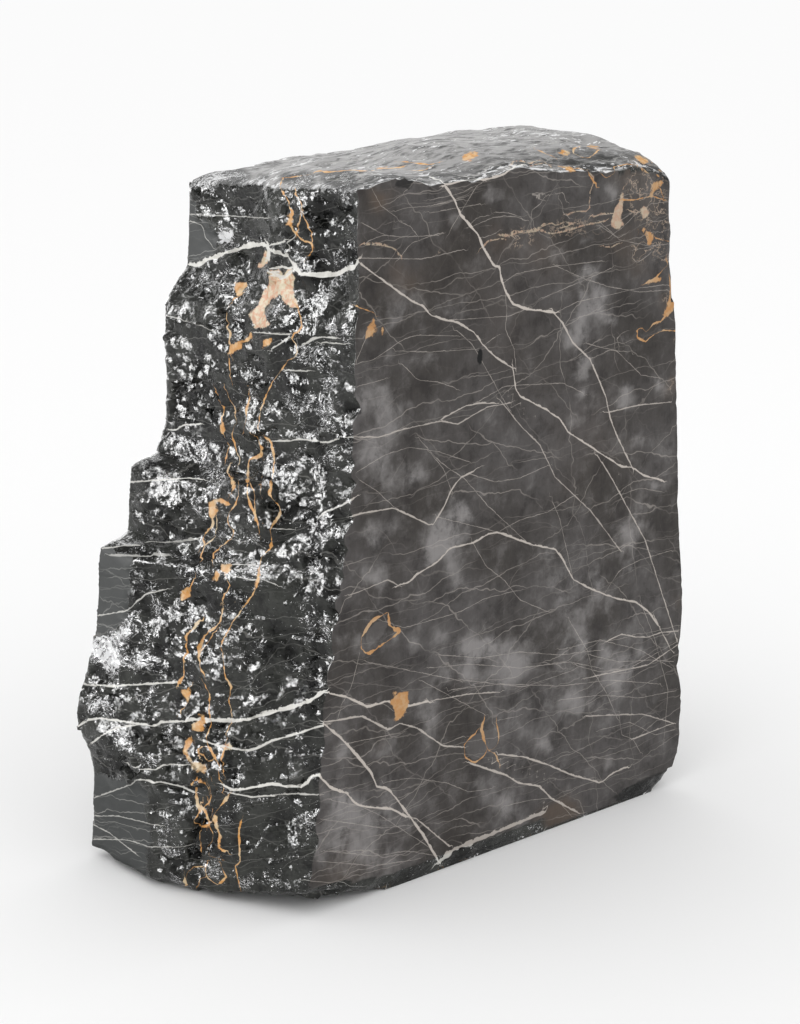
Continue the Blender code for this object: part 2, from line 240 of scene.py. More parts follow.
# Hairlines: the pixels that each runs through.
HAIR_VEINS = {
    "a1": [(365, 244), (372, 239), (385, 235), (400, 237), (440, 235)],
    "a2": [(358, 258), (423, 259), (465, 249)],
    "a3": [(399, 259), (411, 243), (440, 233)],
    "a4": [(394, 212), (405, 208), (430, 206), (465, 197)],
    "a5": [(485, 180), (476, 187), (449, 232)],
    "a6": [(473, 226), (492, 218), (505, 216), (517, 217), (527, 221)],
    "a7": [(549, 195), (544, 196), (544, 201), (531, 211), (531, 227)],
    "a8": [(543, 200), (535, 198), (531, 193), (545, 193)],
    "a9": [(558, 194), (563, 192), (566, 200)],
    "aa": [(560, 200), (563, 206), (563, 214), (568, 216)],
    "ab": [(470, 224), (478, 217), (487, 216)],
    "ac": [(483, 238), (496, 233)],
    "ad": [(362, 223), (385, 235)],
    "ae": [(372, 189), (381, 206), (398, 218)],
    "af": [(400, 222), (410, 226), (417, 235)],
    "ag": [(405, 192), (422, 174)],
    "ah": [(430, 200), (462, 193), (474, 186)],
    "ai": [(430, 206), (464, 199)],
    "aj": [(430, 213), (480, 204)],
    "ak": [(495, 212), (509, 213), (521, 217)],
    "al": [(594, 216), (616, 213)],
    "am": [(622, 198), (634, 200), (652, 196)],
    "an": [(646, 219), (655, 222), (664, 220), (672, 214)],
    "ao": [(600, 226), (618, 238), (626, 234)],
    "ap": [(640, 210), (622, 228), (610, 236)],
    "aq": [(634, 250), (650, 247)],
    "ar": [(634, 250), (631, 257), (637, 263), (650, 254)],
    "b1": [(353, 364), (373, 360), (402, 340), (416, 335), (458, 336)],
    "b2": [(356, 362), (365, 340)],
    "b3": [(396, 351), (429, 352), (474, 349)],
    "b4": [(452, 320), (510, 316), (530, 307)],
    "b5": [(555, 313), (577, 302), (639, 288), (672, 284)],
    "b6": [(505, 282), (515, 274), (556, 266), (585, 279)],
    "b7": [(556, 266), (603, 261)],
    "b8": [(543, 298), (612, 268)],
    "b9": [(456, 330), (472, 344), (510, 411)],
    "c1": [(485, 344), (496, 337)],
    "c2": [(505, 290), (507, 313), (505, 328), (514, 349), (516, 368)],
    "c3": [(588, 344), (617, 351), (641, 375), (659, 378)],
    "c4": [(619, 346), (616, 337), (626, 331)],
    "c5": [(478, 402), (505, 386), (563, 383), (583, 393)],
    "c6": [(358, 386), (385, 379)],
    "c7": [(402, 364), (418, 380), (438, 382), (456, 388)],
    "d1": [(367, 662), (462, 681)],
    "d2": [(422, 681), (484, 714)],
    "d3": [(342, 705), (352, 685), (358, 660)],
    "d4": [(327, 724), (337, 720), (342, 705)],
    "d5": [(444, 744), (464, 736)],
    "d6": [(499, 720), (519, 716)],
    "d7": [(385, 782), (412, 778), (447, 783), (469, 792), (489, 789)],
    "d8": [(569, 620), (588, 652), (592, 670), (606, 692), (618, 720)],
    "d9": [(322, 819), (382, 828), (409, 825)],
    "e1": [(325, 851), (375, 856), (407, 851), (439, 856)],
    "e2": [(317, 861), (375, 866), (419, 859)],
    "e3": [(302, 880), (362, 886)],
    "e4": [(462, 680), (524, 687), (574, 670)],
    "e5": [(360, 470), (385, 455), (410, 447), (440, 452), (470, 462)],
    "e6": [(430, 452), (444, 470), (452, 492)],
    "e7": [(395, 508), (378, 492), (360, 480)],
    "e8": [(498, 532), (520, 520), (548, 512), (575, 495)],
    "e9": [(438, 517), (498, 532)],
    "f1": [(470, 474), (495, 482), (520, 478), (549, 465)],
    "f2": [(552, 500), (560, 520), (573, 579)],
    "f3": [(380, 620), (404, 628), (460, 612), (486, 598), (520, 590)],
    "f4": [(473, 543), (486, 566), (504, 580), (520, 600), (548, 612)],
    "f5": [(604, 594), (620, 570), (640, 560), (672, 550)],
    "f6": [(590, 359), (610, 350), (630, 352)],
    "f7": [(600, 222), (620, 240), (650, 246), (668, 244)],
    "f8": [(585, 279), (610, 287), (640, 292), (668, 290)],
    "f9": [(420, 440), (440, 462), (466, 480), (487, 505), (530, 545)],
    "g1": [(340, 745), (400, 733)],
    "g2": [(330, 800), (360, 806), (380, 815), (432, 849)],
    "g3": [(505, 806), (530, 800), (551, 798)],
    "g4": [(563, 806), (575, 820), (590, 822)],
    "g5": [(619, 715), (622, 735), (633, 739), (640, 752)],
    "h1": [(575, 665), (600, 672), (630, 668), (680, 640)],
    "h2": [(590, 655), (620, 662), (650, 660), (680, 662)],
    "h3": [(560, 650), (600, 640), (640, 650), (672, 668)],
    "h4": [(560, 700), (600, 695), (640, 698), (678, 690)],
    "h5": [(440, 655), (480, 658), (520, 652), (560, 655), (600, 650)],
    "h6": [(430, 668), (470, 664), (520, 668), (570, 662), (600, 668)],
    "h7": [(450, 690), (500, 684), (560, 686), (610, 680), (660, 684)],
    "h8": [(600, 730), (630, 722), (655, 735), (680, 728)],
    "h9": [(640, 600), (655, 640), (668, 690), (664, 740)],
    "g6": [(620, 495), (640, 488), (662, 492)],
}

# Cream and gold veins: name: (half width in millimetres, the pixels it runs through).
CREAM_VEINS = {
    "drip": (0.55, [(589, 172), (594, 178), (594, 183), (590, 191), (591, 195), (589, 200), (590, 207),
        (587, 211), (573, 212), (567, 215)]),
    "band": (1.5, [(503, 236), (509, 235), (515, 232), (525, 232), (536, 230), (541, 227)]),
    "band_tail": (0.7, [(483, 247), (488, 241), (503, 238)]),
    "band_branch": (0.6, [(541, 227), (547, 224), (553, 223), (557, 226), (563, 222), (569, 222)]),
    "band_loop": (0.6, [(556, 231), (560, 227), (566, 227), (572, 223), (580, 224)]),
    "rim_curl": (0.7, [(511, 166), (513, 162), (520, 160), (531, 163), (541, 160), (552, 168)]),
    "rim_curl_low": (0.6, [(531, 166), (543, 164), (548, 165)]),
    "dash": (1, [(365, 244), (380, 244), (394, 248), (399, 254)]),
    "band_low": (0.9, [(541, 231), (549, 233), (557, 233), (585, 225), (605, 221)]),
    "upper_line": (0.7, [(593, 217), (602, 214), (613, 213)]),
    "fin_stem": (0.5, [(622, 197), (622, 191), (624, 187)]),
    "right_line": (0.6, [(630, 211), (636, 213), (641, 211)]),
    "cross_line": (0.5, [(605, 247), (612, 247), (618, 243)]),
}
GOLD_VEINS = {
    "crown_left": (0.9, [(282, 180), (280, 187), (290, 208), (294, 213), (292, 219), (294, 232), (304, 241),
        (313, 243), (313, 250), (308, 256)]),
    "crown_right": (0.7, [(296, 190), (303, 207), (303, 220), (297, 232)]),
    "crown_far": (0.6, [(304, 208), (311, 226), (313, 241)]),
    "left_stem": (1.1, [(240, 296), (228, 304), (226, 308), (228, 313), (226, 320), (230, 334), (228, 342),
        (231, 352)]),
    "left_stem_low": (0.6, [(229, 358), (229, 366), (232, 378)]),
    "elbow": (0.6, [(294, 303), (300, 310), (301, 326), (297, 332), (293, 333), (290, 339), (298, 351),
        (296, 357), (288, 360), (273, 382), (265, 400), (260, 427), (263, 437)]),
    "a": (0.7, [(215, 392), (218, 400), (224, 407), (221, 417), (226, 442), (229, 448), (227, 458)]),
    "b": (0.7, [(227, 392), (238, 421), (232, 436), (236, 452), (241, 459), (239, 465)]),
    "b_low": (0.8, [(230, 466), (227, 472), (235, 484), (232, 491)]),
    "b_tail": (0.6, [(238, 486), (238, 496), (236, 504), (229, 512), (228, 518), (230, 526), (235, 530),
        (233, 538), (213, 553), (213, 563)]),
    "c": (0.9, [(248, 392), (248, 417), (246, 427)]),
    "c_low": (1.1, [(256, 440), (260, 448), (258, 455), (249, 460), (247, 488), (249, 502), (258, 526),
        (259, 533)]),
    "c_twin": (0.4, [(249, 482), (254, 491), (254, 513)]),
    "d": (1.1, [(263, 437), (269, 441), (271, 451), (272, 475), (270, 494), (279, 507), (278, 516),
        (270, 529), (272, 541), (270, 549), (261, 558), (257, 588), (252, 596)]),
    "n": (0.7, [(252, 596), (228, 629), (221, 646), (225, 677), (231, 687), (229, 700), (231, 715),
        (229, 730), (221, 759), (223, 772)]),
    "ring_left": (0.9, [(213, 520), (212, 526), (204, 533), (201, 539), (204, 545), (201, 553)]),
    "ring_right": (0.7, [(217, 520), (217, 533), (210, 541), (204, 545)]),
    "e": (1.4, [(199, 623), (189, 636), (190, 648), (184, 657), (184, 676), (180, 682)]),
    "f": (1, [(222, 611), (219, 623), (204, 636), (199, 650), (200, 667), (205, 677)]),
    "f_low": (0.8, [(204, 684), (210, 696), (208, 707), (210, 724), (204, 736), (206, 747), (214, 755),
        (218, 766), (218, 778), (222, 787)]),
    "f_twin": (0.5, [(216, 630), (202, 650)]),
    "g": (0.7, [(189, 689), (184, 696), (185, 703), (181, 711)]),
    "i": (1.3, [(195, 790), (194, 783), (199, 778), (204, 782), (207, 790)]),
    "net_a": (1.0, [(198, 753), (197, 749), (201, 747), (208, 748), (212, 753), (213, 758), (218, 766)]),
    "net_a_low": (0.4, [(213, 758), (210, 761), (204, 761), (200, 755), (198, 753)]),
    "net_b": (0.5, [(208, 788), (210, 797), (208, 804), (203, 807), (201, 811)]),
    "net_b_low": (0.4, [(195, 787), (195, 797), (197, 802)]),
    "net_c": (0.4, [(208, 803), (211, 810), (210, 822), (209, 824)]),
    "net_d": (0.5, [(208, 826), (211, 835), (211, 841), (206, 848), (208, 856), (213, 858)]),
    "net_d_left": (0.5, [(200, 827), (198, 834), (198, 842), (199, 853)]),
    "net_e_left": (0.9, [(206, 877), (200, 879), (199, 884), (195, 890)]),
    "net_e_top": (0.4, [(185, 883), (187, 873), (193, 867), (203, 866)]),
    "j": (1.1, [(195, 795), (197, 805), (200, 810), (195, 820), (197, 828), (208, 826), (206, 814),
        (202, 808)]),
    "k": (1.2, [(227, 798), (213, 816), (219, 835), (218, 847), (225, 851)]),
    "l": (0.7, [(241, 822), (238, 832), (240, 862), (235, 866), (241, 892)]),
    "foot_right": (0.9, [(222, 868), (226, 877), (218, 885), (206, 877), (207, 866)]),
    "foot_left": (1.2, [(185, 877), (187, 887), (199, 891)]),
    "facet_strand": (0.6, [(194, 580), (191, 588)]),
    "below_patch": (0.5, [(225, 575), (230, 585), (223, 600)]),
    "sawn_curl": (0.7, [(356, 306), (374, 313)]),
    "sawn_arc": (0.5, [(654, 237), (650, 244), (641, 228), (654, 237)]),
    "right_streak": (1.7, [(668, 264), (674, 277), (675, 290), (672, 304), (668, 313), (661, 321)]),
    "right_hook": (0.8, [(661, 321), (652, 324), (647, 333), (641, 327), (636, 331), (637, 337), (645, 342),
        (652, 336), (663, 330), (675, 331)]),
    "right_arm": (0.8, [(668, 264), (655, 279), (647, 282)]),
    "sawn_ring": (1.3, [(388, 612), (372, 621), (361, 638), (361, 648), (366, 653), (372, 652), (399, 633),
        (402, 627), (395, 629), (390, 626), (388, 612)]),
    "low_ring_bar": (1.3, [(483, 722), (481, 728), (487, 749), (496, 755), (498, 762)]),
    "low_ring_left": (0.7, [(474, 734), (464, 744), (465, 757), (474, 763), (484, 757), (487, 749)]),
    "low_ring_right": (0.6, [(497, 725), (499, 737), (497, 747), (490, 750)]),
    "rim_line": (1.5, [(290, 178), (310, 175), (320, 171), (327, 173), (352, 170), (365, 172), (400, 167)]),
    "rim_far": (1.8, [(405, 162), (430, 165), (437, 163)]),
    "rim_near": (0.8, [(406, 170), (423, 171), (427, 169)]),
    "top_ring": (0.7, [(580, 147), (574, 149), (572, 153), (583, 158), (590, 157), (599, 150)]),
    "top_streak": (1, [(536, 149), (552, 156)]),
    "drip_rim": (0.9, [(573, 169), (581, 168), (587, 171), (594, 182)]),
    "corner_line": (0.6, [(600, 173), (606, 178), (613, 175), (615, 170), (613, 167), (628, 164),
        (636, 166)]),
    "corner_far": (0.8, [(626, 148), (644, 155), (651, 162)]),
    "corner_drop": (0.5, [(655, 184), (660, 188), (663, 196)]),
    "corner_run": (0.6, [(623, 200), (634, 200), (652, 196), (662, 199)]),
    "star_arm": (0.5, [(655, 238), (668, 241)]),
}

# Patches: the corners of each, in pixels.
GOLD_PATCHES = {
    "crown_blob": [(288, 216), (293, 211), (295, 218), (294, 224), (289, 223)],
    "leaf": [(235, 283), (250, 281), (247, 288), (241, 297), (237, 296), (234, 289)],
    "wedge": [(229, 345), (243, 341), (250, 332), (254, 338), (246, 342), (244, 349), (228, 355)],
    "triangle": [(264, 339), (273, 338), (270, 344), (263, 349)],
    "drop_a": [(221, 424), (224, 422), (226, 431), (223, 434), (221, 430)],
    "drop_b": [(229, 474), (233, 478), (236, 484), (233, 490)],
    "comma": [(208, 504), (212, 500), (220, 498), (231, 504), (225, 506), (220, 502), (216, 504),
        (216, 508), (220, 510), (216, 514), (214, 519), (212, 520), (209, 515)],
    "bun": [(221, 565), (232, 563), (231, 571), (225, 575), (221, 570)],
    "sickle": [(216, 570), (220, 573), (217, 581), (208, 581), (214, 578)],
    "flake": [(179, 599), (181, 591), (190, 586), (194, 587), (189, 594), (190, 597), (182, 600)],
    "tab": [(181, 690), (192, 689), (190, 697), (186, 702), (183, 697)],
    "step": [(190, 730), (193, 724), (198, 720), (198, 715), (203, 713), (203, 732), (196, 732)],
    "claw": [(192, 736), (193, 740), (187, 751), (191, 761), (202, 763), (205, 775), (195, 768), (182, 753),
        (184, 742)],
    "pod": [(258, 568), (261, 572), (259, 586), (254, 592)],
    "fat_k": [(213, 815), (217, 815), (218, 827), (215, 829), (213, 821)],
    "fat_k_low": [(218, 834), (221, 836), (220, 848), (217, 849)],
    "sawn_flame": [(372, 314), (376, 324), (374, 335), (365, 340), (367, 328), (371, 322)],
    "sawn_flame_small": [(380, 323), (384, 331), (381, 339), (379, 331)],
    "right_streak": [(668, 262), (676, 268), (679, 290), (676, 306), (668, 316), (662, 316), (667, 304),
        (670, 292)],
    "right_knot": [(644, 286), (647, 282), (661, 276), (661, 282)],
    "corner_knot": [(663, 181), (655, 182), (650, 186), (652, 190), (648, 196), (652, 198), (656, 190),
        (663, 185)],
    "low_star": [(640, 226), (652, 233), (655, 238), (651, 242), (650, 247), (648, 244), (649, 237),
        (643, 232)],
    "corner_spot": [(657, 171), (663, 167), (660, 177), (657, 176)],
    "top_knot": [(463, 153), (470, 153), (474, 151), (479, 154), (478, 158), (473, 157), (472, 161),
        (465, 161), (462, 158)],
    "top_tan": [(558, 152), (566, 150), (571, 153), (566, 156), (560, 155)],
    "top_ring_bar": [(586, 145), (598, 146), (600, 149), (587, 148)],
    "top_corner": [(634, 155), (641, 156), (648, 160), (650, 163), (644, 164), (637, 161)],
    "drip_top": [(557, 165), (573, 168), (577, 170), (574, 173), (568, 172), (565, 168), (558, 167)],
    "rim_dash": [(376, 168), (388, 166), (388, 169), (377, 170)],
    "tan_fin": [(409, 691), (409, 702), (404, 716), (393, 723), (396, 714), (393, 706), (387, 700),
        (399, 693)],
    "tan_fin_tip": [(393, 686), (396, 692), (392, 694)],
}
CREAM_PATCHES = {
    "star": [(266, 250), (273, 253), (270, 260), (261, 269), (257, 266), (263, 258)],
    "trousers": [(270, 271), (275, 268), (279, 274), (288, 268), (292, 269), (294, 277), (293, 286),
        (294, 294), (299, 307), (291, 308), (286, 305), (282, 300), (280, 294), (275, 297), (265, 308),
        (265, 314), (270, 325), (262, 328), (254, 328), (248, 315), (258, 304), (262, 297), (263, 291),
        (268, 286), (270, 279)],
    "knot": [(222, 744), (229, 742), (233, 748), (226, 751), (220, 748)],
    "fin": [(623, 188), (624, 200), (621, 221), (624, 222), (620, 229), (615, 230), (611, 224), (613, 214),
        (621, 196)],
    "fin_right": [(641, 206), (645, 207), (650, 212), (659, 214), (646, 217), (644, 221), (641, 214)],
    "spot": [(361, 846), (363, 846), (363, 853), (361, 853)],
}
GREY_PATCHES = {
    "ring_core": [(372, 625), (380, 620), (386, 622), (388, 628), (380, 638), (371, 646),
                  (365, 642), (367, 633)],
    "low_ring": [(474, 735), (482, 731), (497, 727), (498, 744), (484, 756), (474, 760),
                 (466, 753), (465, 744)],
}

# Chips in the sawn face, painted near black: painted shade in the chipped hollows and under the lower edge.
CHIP_SHADE = {
    "top_scallop": [(394, 183), (400, 178), (408, 178), (415, 182), (414, 187), (409, 190),
                    (403, 187), (396, 188)],
    "near_wedge": [(345, 400), (361, 407), (361, 415), (345, 414)],
    "right_foot": [(612, 798), (630, 786), (650, 776), (672, 768), (676, 775), (655, 795),
                   (620, 804)],
    "under_foot_vein": [(440, 868), (452, 859), (466, 852), (492, 845), (514, 838), (541, 832),
                        (548, 832), (520, 846), (490, 857), (462, 868), (446, 873)],
}

# Smooth grey-green facets of the break.
FACETS = {
    "neck": [(186, 196), (196, 200), (213, 240), (220, 254), (200, 260), (184, 263)],
    "middle": [(96, 552), (128, 550), (130, 590), (120, 630), (88, 642)],
    "foot": [(86, 770), (120, 782), (148, 786), (149, 858), (148, 880), (84, 852)],
}

# ---- Spots: the pixel of each one's middle, its radius in pixels and its strength ----
# The brightest and the calmest areas of the break; the brightest also gather the painted white glints.
GLINT_AREAS = [(208, 180, 14, 1.3), (226, 176, 12, 1.2), (243, 178, 10, 0.9),
               (262, 178, 8, 0.6), (285, 178, 9, 0.7), (306, 178, 10, 0.7), (328, 178, 10, 0.7),
               (346, 178, 9, 0.6), (224, 236, 10, 2.3), (199, 188, 8, 0.4),
               (210, 212, 9, 0.5), (235, 227, 10, 0.4), (270, 230, 8, 0.3), (345, 225, 8, 0.4),
               (340, 247, 9, 0.5), (312, 198, 10, 0.5), (345, 184, 12, 0.7), (300, 183, 9, 0.5),
               (225, 278, 13, 0.6), (208, 281, 10, 0.6), (215, 322, 8, 1.0), (182, 336, 8, 0.5),
               (190, 346, 7, 0.6), (240, 318, 11, 0.6), (226, 333, 8, 0.7), (318, 352, 13, 0.9),
               (332, 330, 11, 0.5), (303, 330, 9, 0.5), (226, 366, 6, 0.4), (183, 372, 9, 0.5),
               (178, 395, 7, 0.4), (236, 386, 9, 0.6), (283, 401, 9, 0.8), (305, 395, 11, 0.9),
               (325, 402, 11, 0.8), (298, 415, 11, 0.9), (325, 425, 11, 1.2), (332, 384, 10, 0.5),
               (345, 312, 7, 0.6), (348, 370, 8, 0.4), (204, 451, 8, 0.6), (215, 476, 11, 0.9),
               (210, 491, 9, 1.3), (262, 461, 7, 0.6), (255, 472, 8, 0.4), (295, 457, 11, 0.8),
               (292, 478, 9, 0.6), (330, 452, 10, 0.5), (160, 470, 14, 0.3), (180, 520, 10, 0.4),
               (247, 541, 9, 0.9), (310, 512, 10, 0.6), (326, 530, 10, 0.6), (150, 532, 12, 0.4),
               (225, 556, 9, 0.4), (315, 567, 10, 0.6), (262, 571, 8, 0.5), (118, 588, 6, 1.0),
               (150, 594, 10, 0.6), (180, 571, 8, 0.4), (104, 648, 16, 1.9), (126, 630, 12, 1.5),
               (142, 660, 13, 1.5), (112, 668, 12, 1.4), (92, 640, 10, 0.9), (156, 612, 9, 0.5),
               (190, 622, 9, 0.5), (215, 642, 8, 0.4), (241, 606, 8, 0.5), (312, 640, 12, 0.7),
               (262, 646, 7, 1.1), (300, 627, 11, 0.7), (326, 620, 8, 0.6), (250, 682, 8, 0.4),
               (300, 690, 9, 0.4), (108, 706, 12, 1.0), (93, 702, 8, 1.0), (140, 701, 9, 0.7),
               (145, 716, 8, 1.0), (124, 739, 11, 1.2), (134, 754, 10, 1.0), (155, 758, 8, 1.2),
               (165, 706, 8, 0.4), (225, 736, 8, 0.9), (250, 752, 8, 0.5), (280, 746, 8, 0.4),
               (305, 762, 11, 0.6), (265, 756, 8, 0.4), (236, 777, 7, 1.0), (280, 797, 10, 0.7),
               (236, 812, 6, 0.8), (164, 832, 9, 0.7), (160, 846, 7, 0.6), (175, 854, 8, 1.1),
               (200, 851, 7, 0.5), (290, 826, 9, 0.5), (318, 851, 9, 0.9), (311, 871, 8, 0.6),
               (212, 868, 9, 1.1), (175, 879, 9, 1.1), (188, 866, 8, 0.6), (246, 886, 9, 0.8),
               (276, 880, 9, 0.6)]
CALM_AREAS = [(240, 204, 22, 0.8), (262, 216, 16, 0.6), (225, 208, 12, 0.5), (335, 215, 14, 0.5),
              (250, 268, 9, 0.4), (195, 352, 12, 0.5), (214, 372, 12, 0.7), (196, 402, 16, 0.6),
              (290, 380, 11, 0.7), (176, 450, 16, 0.4), (152, 502, 18, 0.9), (247, 500, 12, 0.6),
              (265, 512, 12, 0.7), (290, 543, 14, 0.5), (232, 590, 12, 0.6), (272, 600, 13, 0.5),
              (275, 640, 12, 0.9), (165, 645, 12, 0.9), (225, 668, 18, 0.7), (282, 703, 16, 0.7),
              (165, 762, 16, 0.6), (208, 812, 14, 0.8), (155, 802, 18, 0.8), (262, 832, 15, 0.8),
              (272, 855, 13, 0.6), (240, 850, 12, 0.5), (230, 440, 12, 0.4), (190, 660, 9, 0.5),
              (120, 570, 16, 0.8), (140, 615, 8, 0.3), (170, 540, 12, 0.5),
              (168, 325, 12, 0.7), (172, 360, 12, 0.6), (166, 400, 14, 0.8), (172, 432, 12, 0.8),
              (135, 492, 10, 0.6), (134, 515, 9, 0.6)]

# Painted shade: black spots in the break's hollows, where shade falls.
HOLLOW_SHADE = [(320, 203, 8, 1.0), (330, 217, 9, 0.9), (308, 214, 8, 0.8), (318, 222, 9, 0.8),
           (240, 228, 8, 0.4), (305, 380, 5, 0.9), (242, 480, 6, 0.8), (246, 503, 6, 0.8),
           (243, 455, 7, 0.5), (295, 505, 7, 0.6), (282, 540, 8, 0.5), (268, 648, 6, 0.9),
           (275, 630, 7, 0.7), (210, 652, 7, 0.7), (250, 640, 9, 0.5), (265, 665, 10, 0.4),
           (315, 610, 8, 0.5), (260, 560, 9, 0.5), (180, 762, 5, 0.6), (140, 780, 5, 0.5),
           (255, 770, 9, 0.4), (320, 870, 6, 0.6), (270, 870, 8, 0.4), (155, 800, 10, 0.3),
           (215, 368, 5, 0.5), (340, 405, 6, 0.6), (235, 275, 6, 0.4)]

# Clouds in the sawn face: the small ones are pale clouds of the stone, the broad first ten are painted
# shading, darker high up and lighter low down; a negative strength is a dark one.
CLOUDS_AND_SHADING = [(380, 440, 45, 0.05), (610, 560, 80, 0.22), (660, 450, 60, 0.34),
          (500, 690, 110, 0.28), (360, 840, 62, 0.62), (610, 660, 60, 0.20),
          (520, 200, 70, -0.30), (470, 290, 60, -0.20), (560, 480, 60, -0.15),
          (640, 560, 50, -0.04), (496, 194, 14, 0.9), (543, 179, 12, 0.6), (454, 219, 8, 0.5),
          (503, 232, 8, 0.4), (526, 248, 7, 0.5), (549, 244, 7, 0.4), (587, 240, 9, 0.6),
          (612, 196, 10, 0.6), (560, 256, 10, 0.5), (591, 274, 13, 0.9), (598, 300, 14, 1.0),
          (582, 318, 15, 1.0), (576, 340, 13, 0.9), (584, 368, 13, 0.9), (612, 322, 10, 0.7),
          (584, 395, 8, 0.7), (626, 396, 11, 0.9), (664, 248, 8, 0.6), (463, 311, 13, 0.7),
          (450, 320, 10, 0.4), (405, 300, 20, 0.5), (392, 318, 12, 0.5), (426, 358, 9, 0.7),
          (390, 355, 9, 0.5), (493, 417, 9, 0.5), (573, 420, 9, 0.6), (660, 385, 9, 0.7),
          (636, 441, 8, 0.5), (656, 487, 9, 0.4), (372, 400, 24, 0.5), (368, 448, 20, 0.6),
          (392, 425, 16, 0.5), (417, 471, 9, 0.6), (537, 476, 9, 0.7), (446, 534, 22, 1.0),
          (462, 512, 12, 0.8), (430, 552, 12, 0.7), (372, 538, 14, 0.7), (455, 574, 12, 0.6),
          (378, 574, 12, 0.6), (482, 496, 8, 0.5), (598, 579, 9, 0.4), (633, 534, 9, 0.4),
          (544, 561, 8, 0.4), (515, 666, 16, 0.6), (475, 648, 10, 0.6), (484, 643, 12, 0.6),
          (415, 637, 10, 0.5), (439, 637, 9, 0.5), (582, 641, 11, 0.6), (607, 652, 8, 0.6),
          (640, 652, 7, 0.5), (618, 675, 9, 0.7), (568, 701, 14, 0.5), (545, 739, 10, 0.5),
          (604, 765, 10, 0.6), (430, 719, 14, 0.6), (387, 752, 12, 0.4), (468, 676, 10, 0.5),
          (504, 803, 12, 0.5), (343, 803, 16, 0.5), (361, 852, 8, 0.5), (340, 750, 12, 0.6),
          (352, 640, 12, 0.4), (400, 520, 14, 0.5), (350, 700, 10, 0.5), (480, 790, 14, 0.4),
          (395, 480, 20, 0.5)]

# Brown staining of the sawn face.
BROWNS = [(378, 200, 15, 1.1), (400, 278, 20, 0.6), (630, 170, 22, 0.6), (650, 210, 20, 0.5),
          (672, 300, 14, 0.8), (640, 270, 18, 0.4), (355, 868, 34, 0.35), (330, 880, 20, 0.35),
          (562, 815, 17, 1.3), (545, 822, 10, 0.8), (500, 240, 14, 0.4), (620, 240, 20, 0.5),
          (674, 390, 10, 0.6), (678, 600, 9, 0.5), (275, 891, 7, 1.8), (545, 250, 20, 0.3),
          (380, 745, 10, 0.3), (600, 760, 18, 0.3), (505, 300, 90, 0.25), (600, 450, 80, 0.25)]

# Where a net of fine cream and gold threads runs.
NETS = [(642, 186, 16, 0.9), (655, 205, 14, 0.8), (640, 212, 14, 0.7), (657, 240, 13, 1.0),
        (640, 252, 12, 0.8), (600, 232, 14, 0.5), (668, 262, 9, 1.0), (670, 300, 9, 1.0),
        (560, 228, 14, 0.7), (525, 236, 12, 0.7), (512, 240, 9, 0.6), (582, 225, 12, 0.6),
        (640, 165, 12, 0.7), (662, 180, 10, 0.9), (672, 385, 8, 0.7), (612, 248, 8, 0.5),
        (480, 236, 6, 0.5), (440, 254, 8, 0.5), (676, 340, 8, 0.6), (664, 222, 9, 0.6)]

# The small pit in the sawn face, painted black as the shade inside it: the pixel of its middle, and its
# half sizes.
PIT_PIXEL = (480, 357)
PIT_HALF_SIZES = (0.0024, 0.01, 0.0058)

# ---- Painting ----
# Lines: how far from one its strength is kept, the distance stored where there is none, how far
# around one its field is worked out, how clear of each other lines in one field stay, and how
# close together their points are.
LINE_REACH = 0.0056
LINE_FAR = 0.020
LINE_MARGIN_PX = 30.0
LINE_SEPARATION = 0.0115
TRACE_STEP_PX = 4.0

# Patches: how far from an outline its field is kept, how far around it is worked out, how softly
# a facet ends in millimetres, and how many pixels make a millimetre.
PATCH_REACH_PX = 9.0
PATCH_MARGIN_PX = 12.0
FACET_SOFTNESS = 6.0
PX_PER_MM = 1.47

# Drawn hairlines' half width in millimetres, and how strongly drawn lines show.
HAIR_HALF_WIDTH = 0.21
HAIR_STRENGTH = 0.50
GOLD_STRENGTH = 1.0
CREAM_STRENGTH = 0.75

# Sets of hairlines that run through the whole stone: the direction across each set, the spacing
# of its sheets, how much they waver, their half width in millimetres, and how many show.
HAIR_SETS = [((-0.14, 0.30, 0.98), 0.0110, 4.0, 0.30, 0.75),
             ((0.22, -0.10, 0.97), 0.0170, 3.0, 0.36, 0.70),
             ((-0.02, 0.20, 1.00), 0.0065, 5.0, 0.22, 0.60),
             ((0.70, 0.20, 0.68), 0.0330, 1.6, 0.34, 0.60),
             ((-0.62, 0.30, 0.74), 0.0370, 1.6, 0.30, 0.55),
             ((0.95, 0.35, 0.12), 0.0450, 1.4, 0.30, 0.45)]

# How strongly those sets show on smooth and on rough surfaces.
NET_STRENGTH = 0.27
ROUGH_NET_STRENGTH = 0.13

# The uneven outline of drawn spots: the size of its waves, and how far they reach in pixels.
WANDER_SIZE = 0.016
WANDER_ACROSS = 8.0
WANDER_DOWN = 10.0
WANDER_APART = Vector((5.3, 1.7, 9.1))

# ---- Room: how bright it is as light on surfaces, and as it is mirrored in them ----
ROOM_STRENGTH = 1.12
ROOM_IN_REFLECTIONS = 0.20
FLOOR_HALF_SIZE = 30.0
FLOOR_COLOUR = (0.86, 0.86, 0.86, 1.0)
LAMP_TARGET = Vector((0.0, 0.0, 0.25))

# Softboxes: name, place, width and height, radiance, and whether it is only mirrored.
SOFTBOXES = (("left_softbox", (-2.2, 1.0, 1.2), (0.9, 1.2), 62.0, True),
             ("high_softbox", (-0.9, 0.2, 2.4), (0.9, 0.9), 48.0, True),
             ("back_wall", (1.2, 3.2, 1.0), (4.0, 2.0), 4.2, True),
             ("key", (-1.6, -1.2, 2.6), (1.6, 1.6), 1.2, False))

